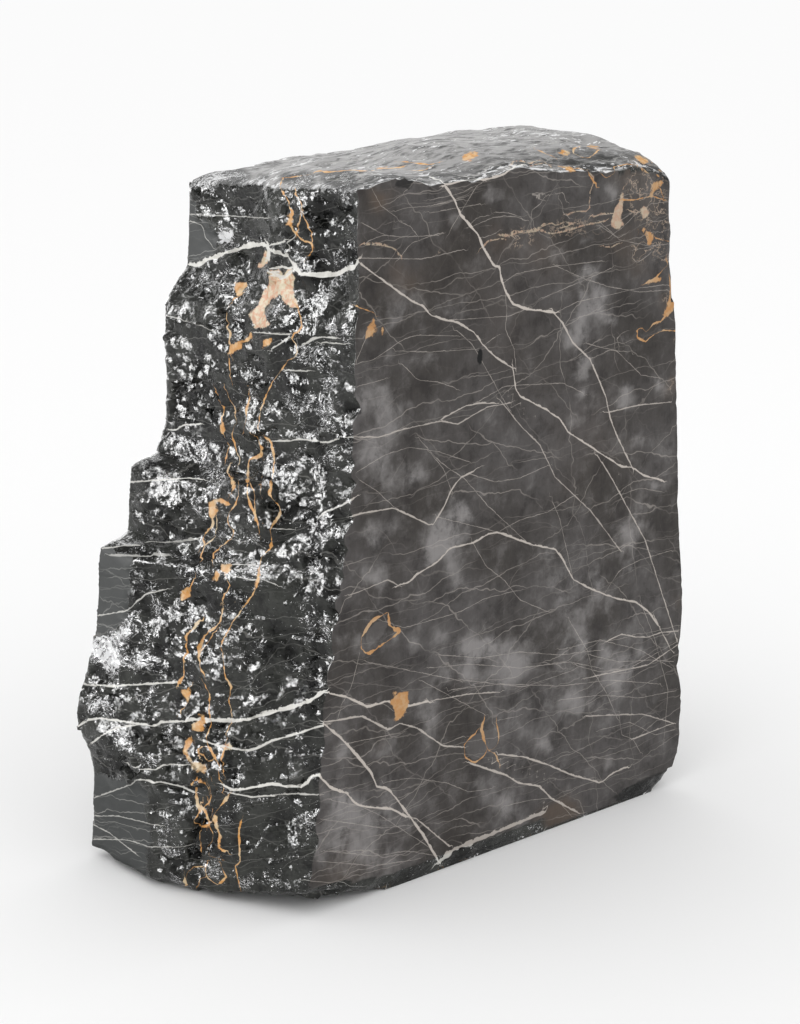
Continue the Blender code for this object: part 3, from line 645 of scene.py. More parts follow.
# ---- Marble colours ----
BREAK_DARK = "#131313"
BREAK_GREY = "#393a37"
FACET_GREY = "#2a2d2c"
SAWN_DARK = "#36322f"
SAWN_GREY = "#4a4746"
SAWN_DEEP = "#221e1d"
CLOUD_GREY = "#7f7c7b"
BROWN = "#574b41"
TOP_DARK = "#454544"
TOP_GREY = "#9a9998"
# Painted shade on the top, towards the sawn face.
TOP_SHADE = "#2b2b2a"
WHITE = "#d6d4ce"
PALE = "#bdb5ad"
GOLD = "#c98f4a"
GOLD_PALE = "#d6b485"
GOLD_DULL = "#a07a58"
CREAM = "#cfc2a6"
CREAM_PINK = "#c9997a"
CREAM_DULL = "#a08f7f"
BLACK = "#060606"
# Painted glints share this near-white with the break's bruises and the top's pale flakes.
BRUISE_AND_GLINT = "#f0f0f1"

# Roughness of each kind of surface; the sawn face's and the break's lie between two values.
BREAK_ROUGHNESS = (0.14, 0.08)
SAWN_ROUGHNESS = (0.40, 0.52)
FACET_ROUGHNESS = 0.7
TOP_ROUGHNESS = 0.72
VEIN_ROUGHNESS = 0.6
SPECULAR_LEVEL = 0.25

# Height of the fine bumps on the break, the sawn face and the facets.
BREAK_BUMPS = 0.00045
SAWN_BUMPS = 0.00005
FACET_BUMPS = 0.00015

# Ripples of the break: (ripples in a metre, how far they lean).
RIPPLES = ((300.0, 1.7), (800.0, 0.8))

HALF = (0.5, 0.5, 0.5)


def linear(code):
    """A hex colour as linear red, green, blue and alpha."""
    values = [int(code[start:start + 2], 16) / 255.0 for start in (1, 3, 5)]
    return tuple(value / 12.92 if value <= 0.04045 else ((value + 0.055) / 1.055) ** 2.4
                 for value in values) + (1.0,)


def smooth(low, high, values):
    """0 below low, 1 above high, and an S-curve between, for a number or an array."""
    share = np.clip((np.asarray(values, float) - low) / (high - low), 0.0, 1.0)
    return share * share * (3.0 - 2.0 * share)


# ---- From the picture to the stone and back ----

def pixels_of(places):
    """The pixels at which the camera sees places."""
    away = np.asarray(places, float) - CAMERA_PLACE
    ahead = away @ CAMERA_AHEAD
    across = PICTURE_WIDTH / 2 + FOCAL_PX * (away @ CAMERA_RIGHT) / ahead
    down = PICTURE_HEIGHT / 2 - FOCAL_PX * (away @ CAMERA_UP) / ahead
    return np.stack([across, down], axis=-1)


def direction_of(pixel):
    """The direction from the camera through a pixel."""
    across, down = pixel
    return Vector(CAMERA_AHEAD * FOCAL_PX + CAMERA_RIGHT * (across - PICTURE_WIDTH / 2)
                  + CAMERA_UP * (PICTURE_HEIGHT / 2 - down)).normalized()


def close_points(corners):
    """Points a few pixels apart along a line through corners."""
    points = [np.array(corners[0], float)]
    for start, end in zip(corners, corners[1:]):
        start, end = np.array(start, float), np.array(end, float)
        count = max(1, math.ceil(np.linalg.norm(end - start) / TRACE_STEP_PX))
        points += [start + (end - start) * step / count for step in range(1, count + 1)]
    return points


def traced(surface, corners):
    """Where a line of pixels runs on the surface: its places, and the pixels that met the stone."""
    origin = Vector(CAMERA_PLACE)
    places, pixels = [], []
    for pixel in close_points(corners):
        hit = surface.ray_cast(origin, direction_of(pixel))[0]
        if hit is not None:
            places.append(hit[:])
            pixels.append(pixel)
    return np.array(places), np.array(pixels)


# ---- The skin ----

def even_copy(node):
    """A new object with an evenly meshed copy of the node's shape."""
    skin = bpy.data.objects.new("marble_skin", node.data.copy())
    bpy.context.scene.collection.objects.link(skin)
    weld = skin.modifiers.new("weld", "WELD")
    weld.merge_threshold = WELD_DISTANCE
    remesh = skin.modifiers.new("even", "REMESH")
    remesh.mode = "SHARP"
    remesh.octree_depth = REMESH_DEPTH
    remesh.scale = REMESH_SCALE
    remesh.use_remove_disconnected = False
    evaluated = skin.evaluated_get(bpy.context.evaluated_depsgraph_get())
    mesh = bpy.data.meshes.new_from_object(evaluated)
    skin.modifiers.clear()
    skin.data = mesh
    return skin


def mend(mesh):
    """Rebuild the few places where the even copy's surface touches itself."""
    work = bmesh.new()
    work.from_mesh(mesh)
    bmesh.ops.remove_doubles(work, verts=work.verts, dist=MERGE_DISTANCE)
    for _ in range(MEND_ROUNDS):
        touching = [face for face in work.faces if not all(vert.is_manifold for vert in face.verts)]
        if not touching:
            break
        bmesh.ops.delete(work, geom=touching, context="FACES")
        rim = [edge for edge in work.edges if edge.is_boundary]
        bmesh.ops.holes_fill(work, edges=rim, sides=0)
        wide = [face for face in work.faces if len(face.verts) > 4]
        bmesh.ops.triangulate(work, faces=wide)
    bmesh.ops.recalc_face_normals(work, faces=work.faces)
    work.to_mesh(mesh)
    work.free()


def on_break(face):
    """Whether a face belongs to the rough left end."""
    low, high = BREAK_FACING
    return face.calc_center_median().x < 0.0 and low < face.normal.y < high \
        and abs(face.normal.z) < UPRIGHT


def refine_break(mesh):
    """Halve the faces of the rough left end, which carries the finest relief."""
    work = bmesh.new()
    work.from_mesh(mesh)
    edges = [edge for edge in work.edges if any(on_break(face) for face in edge.link_faces)]
    bmesh.ops.subdivide_edges(work, edges=edges, cuts=1, use_grid_fill=True)
    work.to_mesh(mesh)
    work.free()


def mesh_vectors(items, name):
    """A vector property of every item as an array."""
    values = np.zeros(len(items) * 3, np.float32)
    items.foreach_get(name, values)
    return values.reshape(-1, 3).astype(float)


def surface_of(mesh):
    """The mesh as a surface that can be met by a ray."""
    return BVHTree.FromPolygons([tuple(vert.co) for vert in mesh.vertices],
                                [tuple(face.vertices) for face in mesh.polygons])


def drawn_bites(surface):
    """The drawn bites with their rows turned into heights on the near edge."""
    bites = []
    for row, depth, half_height in NEAR_EDGE_BITES:
        across = np.interp(row, NEAR_EDGE_ROWS, NEAR_EDGE_COLUMNS)
        hit = surface.ray_cast(Vector(CAMERA_PLACE), direction_of((across, row)))[0]
        bites.append((hit.z, depth, half_height))
    return bites


def worn_depth(wear, place):
    """How deep a rim is worn at a place."""
    depth, waves = wear
    for size, height in waves:
        depth += height * max(0.0, noise.noise(place / size))
    return depth


def outline_depth(place, bites):
    """How deep the sawn face's outline is nibbled at a place."""
    depth = worn_depth(OUTLINE_WEAR, place)
    if place.x < 0.0 and place.z < NEAR_EDGE_TOP:
        for height, bite, half_height in bites:
            depth += bite * math.exp(-((place.z - height) / half_height) ** 2)
    return depth


def rims_of(work, floor_y, bites):
    """Points on the sawn face's outline and on the other rims: (place, way inward, depth)."""
    outline, rims = [], []
    for vert in work.verts:
        if max(edge.calc_face_angle(0.0) for edge in vert.link_edges) < RIM_ANGLE:
            continue
        others = [face.normal for face in vert.link_faces if face.normal.y > OFF_SAWN_FACE]
        if vert.co.y < floor_y + ON_PLANE and others:
            way = -sum(others, Vector())
            way.y = 0.0
            outline.append((vert.co.copy(), way.normalized(), outline_depth(vert.co, bites)))
        else:
            rims.append((vert.co.copy(), -vert.normal, worn_depth(RIM_WEAR, vert.co)))
    return outline, rims


def tree_of(points):
    """A search tree over the places of points."""
    tree = KDTree(len(points))
    for index, point in enumerate(points):
        tree.insert(point[0], index)
    tree.balance()
    return tree


def wear_rims(mesh, floor_y):
    """Nibble the sawn face's outline, round the other rims, and return how near each vertex is."""
    bites = drawn_bites(surface_of(mesh))
    work = bmesh.new()
    work.from_mesh(mesh)
    outline, rims = rims_of(work, floor_y, bites)
    outline_tree, rim_tree = tree_of(outline), tree_of(rims)
    closeness = np.zeros(len(work.verts))
    wear_and_shade = []
    for number, vert in enumerate(work.verts):
        if vert.co.z < ON_FLOOR:
            continue
        _, index, distance = outline_tree.find(vert.co)
        nearest = min(distance, rim_tree.find(vert.co)[2])
        closeness[number] = math.exp(-(nearest / RIM_NEARNESS) ** 2)
        _, way, depth = outline[index]
        move = way * depth * (1.0 - float(smooth(0.0, OUTLINE_REACH, distance)))
        if vert.co.y > floor_y + ON_PLANE:
            _, index, distance = rim_tree.find(vert.co)
            _, way, depth = rims[index]
            width = RIM_WIDTH * depth
            if distance < width:
                move += way * depth * (1.0 - distance / width) ** 2
                wear_and_shade.append(vert)
        vert.co += move
    for _ in range(RIM_ROUNDS):
        bmesh.ops.smooth_vert(work, verts=wear_and_shade, factor=0.5, use_axis_x=True, use_axis_y=True,
                              use_axis_z=True)
    work.to_mesh(mesh)
    work.free()
    mesh.update()
    return closeness


def find_zones(places, normals, pixels, low, high):
    """How much each vertex belongs to each kind of surface, from 0 to 1."""
    x, y, z = places.T
    columns = pixels[:, 0]
    sawn = np.where((y < low[1] + ON_PLANE)
                    | ((normals[:, 1] < SAWN_FACING) & (z > SAWN_FROM_HEIGHT)), 1.0, 0.0)
    rest = 1.0 - sawn
    top = rest * smooth(*TOP_FACING, normals[:, 2]) * (z > high[2] - TOP_DEPTH)
    base = rest * (z < low[2] + ON_FLOOR)
    back = rest * (1.0 - top) * (1.0 - base) * smooth(*BACK_FACING, normals[:, 1])
    side = rest * (1.0 - top) * (1.0 - base) * (1.0 - back)
    foot = side * (normals[:, 1] < FOOT_FACING) * (z < FOOT_HEIGHT)
    begun, ended = (smooth(edge - FOOT_SOFTNESS_PX, edge + FOOT_SOFTNESS_PX, columns)
                    for edge in (FOOT_SAWN_FROM, FOOT_SAWN_TO))
    sawn_foot = foot * begun * (1.0 - ended)
    return {"sawn": np.maximum(sawn, sawn_foot), "top": top, "base": base, "back": back,
            "left": np.maximum(side * (x < 0.0), foot - sawn_foot),
            "right": side * (x >= 0.0) * (1.0 - foot)}


# ---- Drawn patches and spots ----

def inside(corners, pixels):
    """Which pixels lie inside a polygon."""
    result = np.zeros(len(pixels), bool)
    across, down = pixels[:, 0], pixels[:, 1]
    for (x0, y0), (x1, y1) in zip(corners, corners[1:] + corners[:1]):
        if y0 != y1:
            crosses = (y0 > down) != (y1 > down)
            result ^= crosses & (across < (x1 - x0) * (down - y0) / (y1 - y0) + x0)
    return result


def distance_to_outline(corners, pixels):
    """The distance from pixels to a polygon's outline."""
    nearest = np.full(len(pixels), np.inf)
    for start, end in zip(corners, corners[1:] + corners[:1]):
        start, end = np.array(start, float), np.array(end, float)
        way = end - start
        share = np.clip(((pixels - start) @ way) / (way @ way), 0.0, 1.0)
        nearest = np.minimum(nearest, np.linalg.norm(pixels - start - share[:, None] * way, axis=1))
    return nearest


def patch_field(patches, pixels, shown):
    """How far inside the nearest patch each vertex lies, in millimetres; negative outside."""
    field = np.full(len(pixels), -PATCH_REACH_PX)
    for corners in patches.values():
        low = np.min(corners, axis=0) - PATCH_MARGIN_PX
        high = np.max(corners, axis=0) + PATCH_MARGIN_PX
        near = shown & np.all((pixels > low) & (pixels < high), axis=1)
        away = distance_to_outline(corners, pixels[near])
        signed = np.where(inside(corners, pixels[near]), away, -away)
        field[near] = np.maximum(field[near], signed)
    return np.clip(field, -PATCH_REACH_PX, PATCH_REACH_PX) / PX_PER_MM


def spot_field(spots, pixels, shown):
    """The sum of soft round spots."""
    field = np.zeros(len(pixels))
    for across, down, radius, strength in spots:
        square = ((pixels - (across, down)) ** 2).sum(axis=1)
        field += strength * np.exp(-square / (radius * radius))
    return field * shown


def wander(places):
    """A wandering offset in pixels that gives drawn spots an uneven outline."""
    result = np.zeros((len(places), 2))
    for index, place in enumerate(places):
        point = Vector(place) / WANDER_SIZE
        result[index] = (noise.fractal(point, 0.9, 2.0, 3) * WANDER_ACROSS,
                         noise.fractal(point + WANDER_APART, 0.9, 2.0, 3) * WANDER_DOWN)
    return result


# ---- Drawn lines ----

def line_field(places, pixels, line_places, line_pixels):
    """The signed distance from each vertex to a line: by its place, with its side from the picture."""
    best = np.full(len(places), np.inf)
    result = np.full(len(places), np.inf)
    for index in range(len(line_places) - 1):
        start, way = line_places[index], line_places[index + 1] - line_places[index]
        share = np.clip(((places - start) @ way) / max(way @ way, 1e-12), 0.0, 1.0)
        away = np.linalg.norm(places - start - share[:, None] * way, axis=1)
        side_way = line_pixels[index + 1] - line_pixels[index]
        offset = pixels - line_pixels[index]
        cross = side_way[0] * offset[:, 1] - side_way[1] * offset[:, 0]
        off_line = np.abs(cross) / max(np.linalg.norm(side_way), 1e-9)
        rank = away - 1e-6 * off_line
        closer = rank < best
        best = np.where(closer, rank, best)
        result = np.where(closer, np.where(cross < 0.0, -away, away), result)
    return result


def apart(first, second):
    """Whether two lines stay clear of each other, so that one field can hold both."""
    gaps = np.linalg.norm(first[:, None, :] - second[None, :, :], axis=2)
    return gaps.min() > LINE_SEPARATION


def grouped(lines):
    """The lines, in as few groups as will keep the lines of a group apart."""
    groups = []
    for line in sorted(lines, key=lambda entry: -len(entry["places"])):
        for group in groups:
            if all(apart(line["places"], other["places"]) for other in group):
                group.append(line)
                break
        else:
            groups.append([line])
    return groups


def group_field(group, places, pixels, shown):
    """(signed distance, half width, strength) at each vertex for the lines of one group."""
    field = np.zeros((len(places), 3))
    field[:, 0] = LINE_FAR * 1000.0
    for line in group:
        low = line["pixels"].min(axis=0) - LINE_MARGIN_PX
        high = line["pixels"].max(axis=0) + LINE_MARGIN_PX
        near = np.flatnonzero(shown & np.all((pixels > low) & (pixels < high), axis=1))
        away = line_field(places[near], pixels[near], line["places"], line["pixels"])
        closer = np.abs(away) * 1000.0 < np.abs(field[near, 0])
        near, away = near[closer], away[closer]
        field[near, 0] = away * 1000.0
        field[near, 1] = line["half_width"]
        field[near, 2] = np.where(np.abs(away) < LINE_REACH, line["strength"], 0.0)
    return field


def drawn_line(surface, corners, half_width, strength):
    """A drawn line, carried onto the stone."""
    places, pixels = traced(surface, corners)
    return {"places": places, "pixels": pixels, "half_width": half_width, "strength": strength}


def drawn_lines(surface):
    """Every drawn line, by kind."""
    return {"white": [drawn_line(surface, corners, half_width, strength)
                      for half_width, strength, corners in WHITE_VEINS.values()],
            "hair": [drawn_line(surface, corners, HAIR_HALF_WIDTH, HAIR_STRENGTH)
                     for corners in HAIR_VEINS.values()],
            "gold": [drawn_line(surface, corners, half_width, GOLD_STRENGTH)
                     for half_width, corners in GOLD_VEINS.values()],
            "cream": [drawn_line(surface, corners, half_width, CREAM_STRENGTH)
                      for half_width, corners in CREAM_VEINS.values()]}


def paint_lines(mesh, kind, lines, places, pixels, shown):
    """Store the field of each group of lines on the mesh, and return the fields' names."""
    names = []
    for index, group in enumerate(grouped(lines)):
        names.append(f"{kind}_{index}")
        store_vectors(mesh, names[-1], group_field(group, places, pixels, shown))
    return names


def store(mesh, name, values):
    """Store one number for each vertex."""
    attribute = mesh.attributes.new(name, "FLOAT", "POINT")
    attribute.data.foreach_set("value", np.ascontiguousarray(values, np.float32))


def store_vectors(mesh, name, values):
    """Store three numbers for each vertex."""
    attribute = mesh.attributes.new(name, "FLOAT_VECTOR", "POINT")
    attribute.data.foreach_set("vector", np.ascontiguousarray(values, np.float32).ravel())


def paint_spots(mesh, zones, facet, pixels, smeared, shown):
    """Store the kinds of surface, the drawn spots and the drawn patches on the mesh."""
    fields = {"facet": facet,
              "sawn": zones["sawn"],
              "top": zones["top"],
              "unseen": zones["back"] + zones["right"] + zones["base"],
              "glint": spot_field(GLINT_AREAS, pixels, shown) - spot_field(CALM_AREAS, pixels, shown),
              "hollow_shade": spot_field(HOLLOW_SHADE, pixels, shown),
              "net": spot_field(NETS, pixels, shown),
              "cloud_and_shading": spot_field(CLOUDS_AND_SHADING, smeared, shown),
              "brown": spot_field(BROWNS, smeared, shown),
              "gold_patch": patch_field(GOLD_PATCHES, pixels, shown),
              "cream_patch": patch_field(CREAM_PATCHES, pixels, shown),
              "grey_patch": patch_field(GREY_PATCHES, pixels, shown),
              "chip_shade": patch_field(CHIP_SHADE, pixels, shown)}
    for name, values in fields.items():
        store(mesh, name, values)


# ---- Relief ----

def chips(point, size):
    """Flat chips, wider than they are tall and tilted every way, about -1 to 1."""
    place = Vector((point.x, point.y, point.z * CHIP_FLATNESS)) / size
    centre = noise.voronoi(place)[1][0]
    tilt = noise.cell_vector(centre * CELLS_APART) - Vector(HALF)
    return (place - centre).dot(tilt) * CHIP_TILT + noise.noise(centre * CELLS_APART) * CHIP_STEP


def chipped(layers, point):
    """Chips of several sizes together, in metres."""
    return sum(depth * chips(point, size) for size, depth in layers)


def add_relief(mesh, zones, calm, rim, low, high):
    """Move the vertices along their normals, and keep them inside the solid's box."""
    places = [vert.co.copy() for vert in mesh.vertices]
    normals = [vert.normal.copy() for vert in mesh.vertices]
    moves = np.zeros(len(places))
    for index, vert in enumerate(mesh.vertices):
        point = places[index]
        rough = CALM_SHARE + (1.0 - CALM_SHARE) * smooth(-0.15, 0.25,
                                                         noise.noise(point / CALM_PATCH))
        rest = zones["right"][index] + zones["back"][index]
        move = 0.0
        if zones["left"][index] > 0.0:
            move += chipped(BREAK_CHIPS, point) * zones["left"][index] * rough * calm[index]
        if rest > 0.0:
            move += chipped(REST_CHIPS, point) * rest * rough
        if zones["top"][index] > 0.0:
            move += chipped(TOP_CHIPS, point) * zones["top"][index] * rough
        moves[index] = move * (1.0 - RIM_CALM * rim[index])
        vert.co = Vector(np.clip(point + normals[index] * moves[index], low, high))
    mesh.update()
    store(mesh, "relief", moves * 1000.0)


# ---- Shader nodes ----

class Graph:
    """Short ways to add nodes to one material."""

    def __init__(self, name):
        self.material = bpy.data.materials.new(name)
        self.material.use_nodes = True
        self.tree = self.material.node_tree
        self.shader = self.tree.nodes["Principled BSDF"]

    def node(self, kind, inputs=(), **settings):
        """Add a node, set its settings and link or set its inputs, given as (socket, value)."""
        node = self.tree.nodes.new(kind)
        for name, value in settings.items():
            setattr(node, name, value)
        for socket, value in inputs:
            self.put(node.inputs[socket], value)
        return node

    def put(self, socket, value):
        """Link an output to a socket, or set its value; a colour may be a hex code."""
        if isinstance(value, bpy.types.NodeSocket):
            self.tree.links.new(value, socket)
        else:
            socket.default_value = linear(value) if isinstance(value, str) else value

    def math(self, operation, *values):
        """The result of a math node."""
        return self.node("ShaderNodeMath", enumerate(values), operation=operation).outputs[0]

    def add(self, first, second):
        """The sum of two numbers."""
        return self.math("ADD", first, second)

    def subtract(self, first, second):
        """The first number less the second."""
        return self.math("SUBTRACT", first, second)

    def multiply(self, first, second):
        """The product of two numbers."""
        return self.math("MULTIPLY", first, second)

    def largest(self, first, *others):
        """The largest of several numbers."""
        for other in others:
            first = self.math("MAXIMUM", first, other)
        return first

    def swing(self, value, amount, middle=0.5):
        """How far a value is from its middle, times an amount."""
        return self.multiply(self.subtract(value, middle), amount)

    def ridge(self, value):
        """How far a value is from 0.5, either way: it makes lines where the value crosses that."""
        return self.math("ABSOLUTE", self.subtract(value, 0.5))

    def vector(self, operation, *values):
        """The result of a vector math node."""
        return self.node("ShaderNodeVectorMath", enumerate(values), operation=operation).outputs[0]

    def measure(self, operation, *values):
        """A number worked out from vectors."""
        return self.node("ShaderNodeVectorMath", enumerate(values),
                         operation=operation).outputs["Value"]

    def scaled(self, vector, share):
        """A vector times a number."""
        return self.node("ShaderNodeVectorMath", [(0, vector), ("Scale", share)],
                         operation="SCALE").outputs[0]

    def moved(self, place, way, share):
        """A place moved by a share of a way."""
        return self.vector("ADD", place, self.scaled(way, share))

    def attribute(self, name, output="Fac"):
        """A value stored on the mesh."""
        return self.node("ShaderNodeAttribute", attribute_name=name).outputs[output]

    def split(self, vector):
        """The three parts of a vector."""
        return self.node("ShaderNodeSeparateXYZ", [(0, vector)]).outputs

    def noise(self, place, scale, detail=3.0, roughness=0.55, output=0):
        """Noise at a place: its value, or its colour with output=1."""
        return self.node("ShaderNodeTexNoise",
                         [("Vector", place), ("Scale", scale), ("Detail", detail),
                          ("Roughness", roughness)]).outputs[output]

    def drift(self, place, scale, detail, roughness=0.55):
        """A wandering vector, about -0.5 to 0.5 each way."""
        return self.vector("SUBTRACT", self.noise(place, scale, detail, roughness, 1), HALF)

    def cell_edges(self, place, scale):
        """The distance to the nearest border between cells."""
        return self.node("ShaderNodeTexVoronoi", [("Vector", place), ("Scale", scale)],
                         feature="DISTANCE_TO_EDGE").outputs["Distance"]

    def ramp(self, value, low, high, to_low=0.0, to_high=1.0):
        """A smooth change from one value to another."""
        return self.node("ShaderNodeMapRange", [(0, value), (1, low), (2, high), (3, to_low),
                                                (4, to_high)],
                         interpolation_type="SMOOTHSTEP").outputs[0]

    def blend(self, share, first, second):
        """A mix of two colours."""
        return self.node("ShaderNodeMix", [(0, share), (6, first), (7, second)],
                         data_type="RGBA").outputs[2]

    def blend_value(self, share, first, second):
        """A mix of two numbers."""
        return self.node("ShaderNodeMix", [(0, share), (2, first), (3, second)],
                         data_type="FLOAT").outputs[0]


class Marble(Graph):
    """The marble: one material for the whole stone, told apart by the fields on the mesh."""

    def __init__(self, line_names, pit_place, front):
        super().__init__("marble")
        self.line_names = line_names
        self.place = self.node("ShaderNodeTexCoord").outputs["Object"]
        self.set_zones()
        self.set_grain()
        body = self.blend(self.sawn, self.break_colour(), self.sawn_colour())
        body = self.blend(self.plain_top, body, self.top_colour(front))
        vein_colour = self.blend(self.sawn, WHITE, PALE)
        body = self.blend(self.hairlines(), body, vein_colour)
        body = self.blend(self.unseen_white(), body, WHITE)
        body = self.blend(self.multiply(self.patch("grey_patch"), 0.20), body, CLOUD_GREY)
        # Painted shade: the chips are darkened towards black.
        chip_shade_mask = self.patch("chip_shade", self.wobble, 0.8)
        body = self.blend(self.multiply(chip_shade_mask, 0.75), body, BLACK)
        body = self.blend(self.threads(), body, CREAM_DULL)
        cream = self.cream_mask()
        body = self.blend(cream, body, self.cream_colour())
        white = self.vein_mask("white", self.fray, 0.25)
        body = self.blend(white, body, vein_colour)
        gold = self.gold_mask()
        body = self.blend(gold, body, self.gold_colour())
        # Painted shade: the pit is painted black.
        body = self.blend(self.pit_mask(pit_place), body, BLACK)
        dull = self.largest(cream, gold, white)
        self.put(self.shader.inputs["Base Color"], body)
        self.put(self.shader.inputs["Specular IOR Level"], SPECULAR_LEVEL)
        self.put(self.shader.inputs["Roughness"], self.gloss(dull))
        self.put(self.shader.inputs["Normal"], self.rippled(dull))

    def set_zones(self):
        """Find which kind of surface is which, with ragged borders."""
        self.sawn = self.attribute("sawn")
        self.glint = self.attribute("glint")
        self.top = self.attribute("top")
        self.rim = self.attribute("rim")
        self.unseen = self.attribute("unseen")
        ragged = self.swing(self.noise(self.place, 120.0, 4.0, 0.7), 1.6)
        self.facet = self.ramp(self.add(self.attribute("facet"), ragged), 0.42, 0.58)
        self.plain_top = self.multiply(self.top, self.ramp(self.glint, 0.25, 0.7, 1.0, 0.15))
        smooth_sides = self.largest(self.sawn, self.facet)
        self.rough_zone = self.subtract(1.0, self.largest(smooth_sides,
                                                          self.multiply(self.top, 0.85)))
        self.speckled = self.subtract(1.0, self.largest(smooth_sides, self.plain_top))

    def set_grain(self):
        """Make the noises and warped places that several parts of the stone share."""
        shift = self.drift(self.place, 55.0, 3.0)
        self.warped = self.moved(self.place, shift, 0.010)
        self.drifted = self.moved(self.warped, self.drift(self.place, 8.0, 4.0), 0.12)
        curled = self.vector("MULTIPLY", self.moved(self.place, shift, 0.022), (1.0, 1.0, 2.1))
        self.grain_place = self.moved(curled, self.drift(self.place, 320.0, 2.0), 0.0022)
        self.wobble = self.swing(self.noise(self.place, 260.0, 3.0), 1.5)
        self.patch_fray = self.swing(self.noise(self.place, 190.0, 5.0, 0.68), 5.0, 0.52)
        self.fray = self.ramp(self.noise(self.place, 130.0, 3.0), 0.3, 0.7, 0.40, 1.20)
        self.gold_fray = self.ramp(self.noise(self.place, 95.0, 4.0), 0.36, 0.66, 0.05, 1.20)
        gathered = self.add(self.multiply(self.glint, 0.20), self.multiply(self.unseen, 0.06))
        self.cluster = self.ramp(self.add(self.noise(self.place, 60.0, 4.0, 0.6), gathered),
                                 0.47, 0.76)
        self.tone = self.noise(self.warped, 26.0, 5.0, 0.6)
        self.fine = self.noise(self.place, 420.0, 3.0, 0.6)
        self.mottle = self.noise(self.warped, 75.0, 4.0, 0.6)
        self.streaks = self.noise(self.vector("MULTIPLY", self.place, (1.0, 1.0, 0.045)), 900.0, 2.0)

    def break_colour(self):
        """Black and grey, with painted shade in its hollows and white bruises mixed with painted glints:
        the rough break and the unseen faces.
        """
        shades = self.add(self.multiply(self.tone, 0.45),
                          self.add(self.multiply(self.mottle, 0.35), self.multiply(self.fine, 0.2)))
        colour = self.blend(self.ramp(shades, 0.38, 0.62), BREAK_DARK, BREAK_GREY)
        # Painted shade: the break turns black in its hollows, by the relief's depth and by drawn spots.
        hollow_shade = self.largest(self.ramp(self.attribute("relief"), -3.6, -0.6, 0.7, 0.0),
                              self.multiply(self.attribute("hollow_shade"), 0.9))
        colour = self.blend(self.multiply(hollow_shade, self.rough_zone), colour, BLACK)
        # Painted glints: white specks, curls and smears, mixed with the stone's own white bruises and
        # thickest where glints cluster.
        specks = self.subtract(self.noise(self.grain_place, 460.0, 2.5, 0.6),
                               self.ramp(self.cluster, 0.0, 1.0, 0.70, 0.57))
        glint_curls = self.multiply(
            self.ramp(self.ridge(self.noise(self.grain_place, 210.0, 2.0)), 0.004, 0.016, 0.85, 0.0),
            self.ramp(self.cluster, 0.35, 0.9))
        glint_smears = self.subtract(self.noise(self.grain_place, 135.0, 6.0, 0.78),
                               self.ramp(self.glint, 0.45, 1.7, 0.68, 0.44))
        bruises_and_glints = self.largest(self.ramp(specks, 0.0, 0.03), glint_curls, self.ramp(glint_smears, 0.0, 0.03))
        bruises_and_glints = self.multiply(self.multiply(self.speckled, bruises_and_glints), 0.85)
        colour = self.blend(bruises_and_glints, colour, BRUISE_AND_GLINT)
        return self.blend(self.facet, colour, FACET_GREY)

    def sawn_colour(self):
        """Brown-grey with pale clouds and broad painted shading, brown stains and the saw's fine upright
        streaks.
        """
        # Painted shading: the broad spots darken the face high up and lighten it low down, among the
        # stone's pale clouds.
        cloud_and_shading = self.add(self.attribute("cloud_and_shading"), self.swing(self.tone, 1.3))
        cloud_and_shading = self.ramp(self.add(cloud_and_shading, self.swing(self.mottle, 1.1)), 0.12, 0.95)
        colour = self.blend(self.ramp(self.noise(self.place, 11.0, 4.0), 0.35, 0.65),
                            SAWN_DARK, SAWN_GREY)
        colour = self.blend(cloud_and_shading, colour, CLOUD_GREY)
        smear = self.noise(self.vector("MULTIPLY", self.warped, (1.0, 1.0, 0.85)), 48.0, 6.0, 0.7)
        colour = self.blend(self.ramp(smear, 0.50, 0.72, 0.0, 0.30), colour, CLOUD_GREY)
        colour = self.blend(self.ramp(smear, 0.32, 0.52, 0.70, 0.0), colour, SAWN_DEEP)
        brown = self.ramp(self.add(self.attribute("brown"), self.swing(self.tone, 0.5)),
                          0.05, 1.1, 0.0, 0.75)
        colour = self.blend(brown, colour, BROWN)
        return self.blend(self.ramp(self.streaks, 0.45, 0.95, 0.0, 0.16), colour, BREAK_DARK)

    def top_colour(self, front):
        """Pale flecks along the top, with painted shade in patches towards the sawn face."""
        flat_place = self.vector("MULTIPLY", self.warped, (0.35, 1.0, 1.0))
        flecks = self.noise(flat_place, 150.0, 4.0, 0.65)
        colour = self.blend(self.ramp(flecks, 0.30, 0.56), TOP_DARK, TOP_GREY)
        # Painted shade: the top darkened in patches towards the sawn face.
        near_front = self.ramp(self.split(self.place)[1], front + 0.012, front + 0.055, 1.0, 0.0)
        wear_and_shade = self.ramp(self.noise(flat_place, 95.0, 5.0, 0.68), 0.36, 0.60, 0.15, 0.95)
        colour = self.blend(self.multiply(near_front, wear_and_shade), colour, TOP_SHADE)
        flake_limit = self.ramp(self.add(self.noise(self.place, 35.0, 3.0),
                                         self.multiply(self.rim, 0.25)), 0.42, 0.72, 0.66, 0.51)
        flakes = self.subtract(self.noise(flat_place, 330.0, 3.0, 0.6), flake_limit)
        return self.blend(self.ramp(flakes, 0.0, 0.04, 0.0, 0.65), colour, BRUISE_AND_GLINT)

    def vein_mask(self, kind, fray, softness):
        """How strongly any of the drawn veins of a kind shows, from 0 to 1."""
        lines = []
        for name in self.line_names[kind]:
            away, half_width, strength = self.split(self.attribute(name, "Vector"))
            distance = self.math("ABSOLUTE", self.add(away, self.wobble))
            inner = self.subtract(self.multiply(half_width, fray), distance)
            lines.append(self.multiply(self.ramp(inner, -softness, softness), strength))
        return self.largest(*lines)

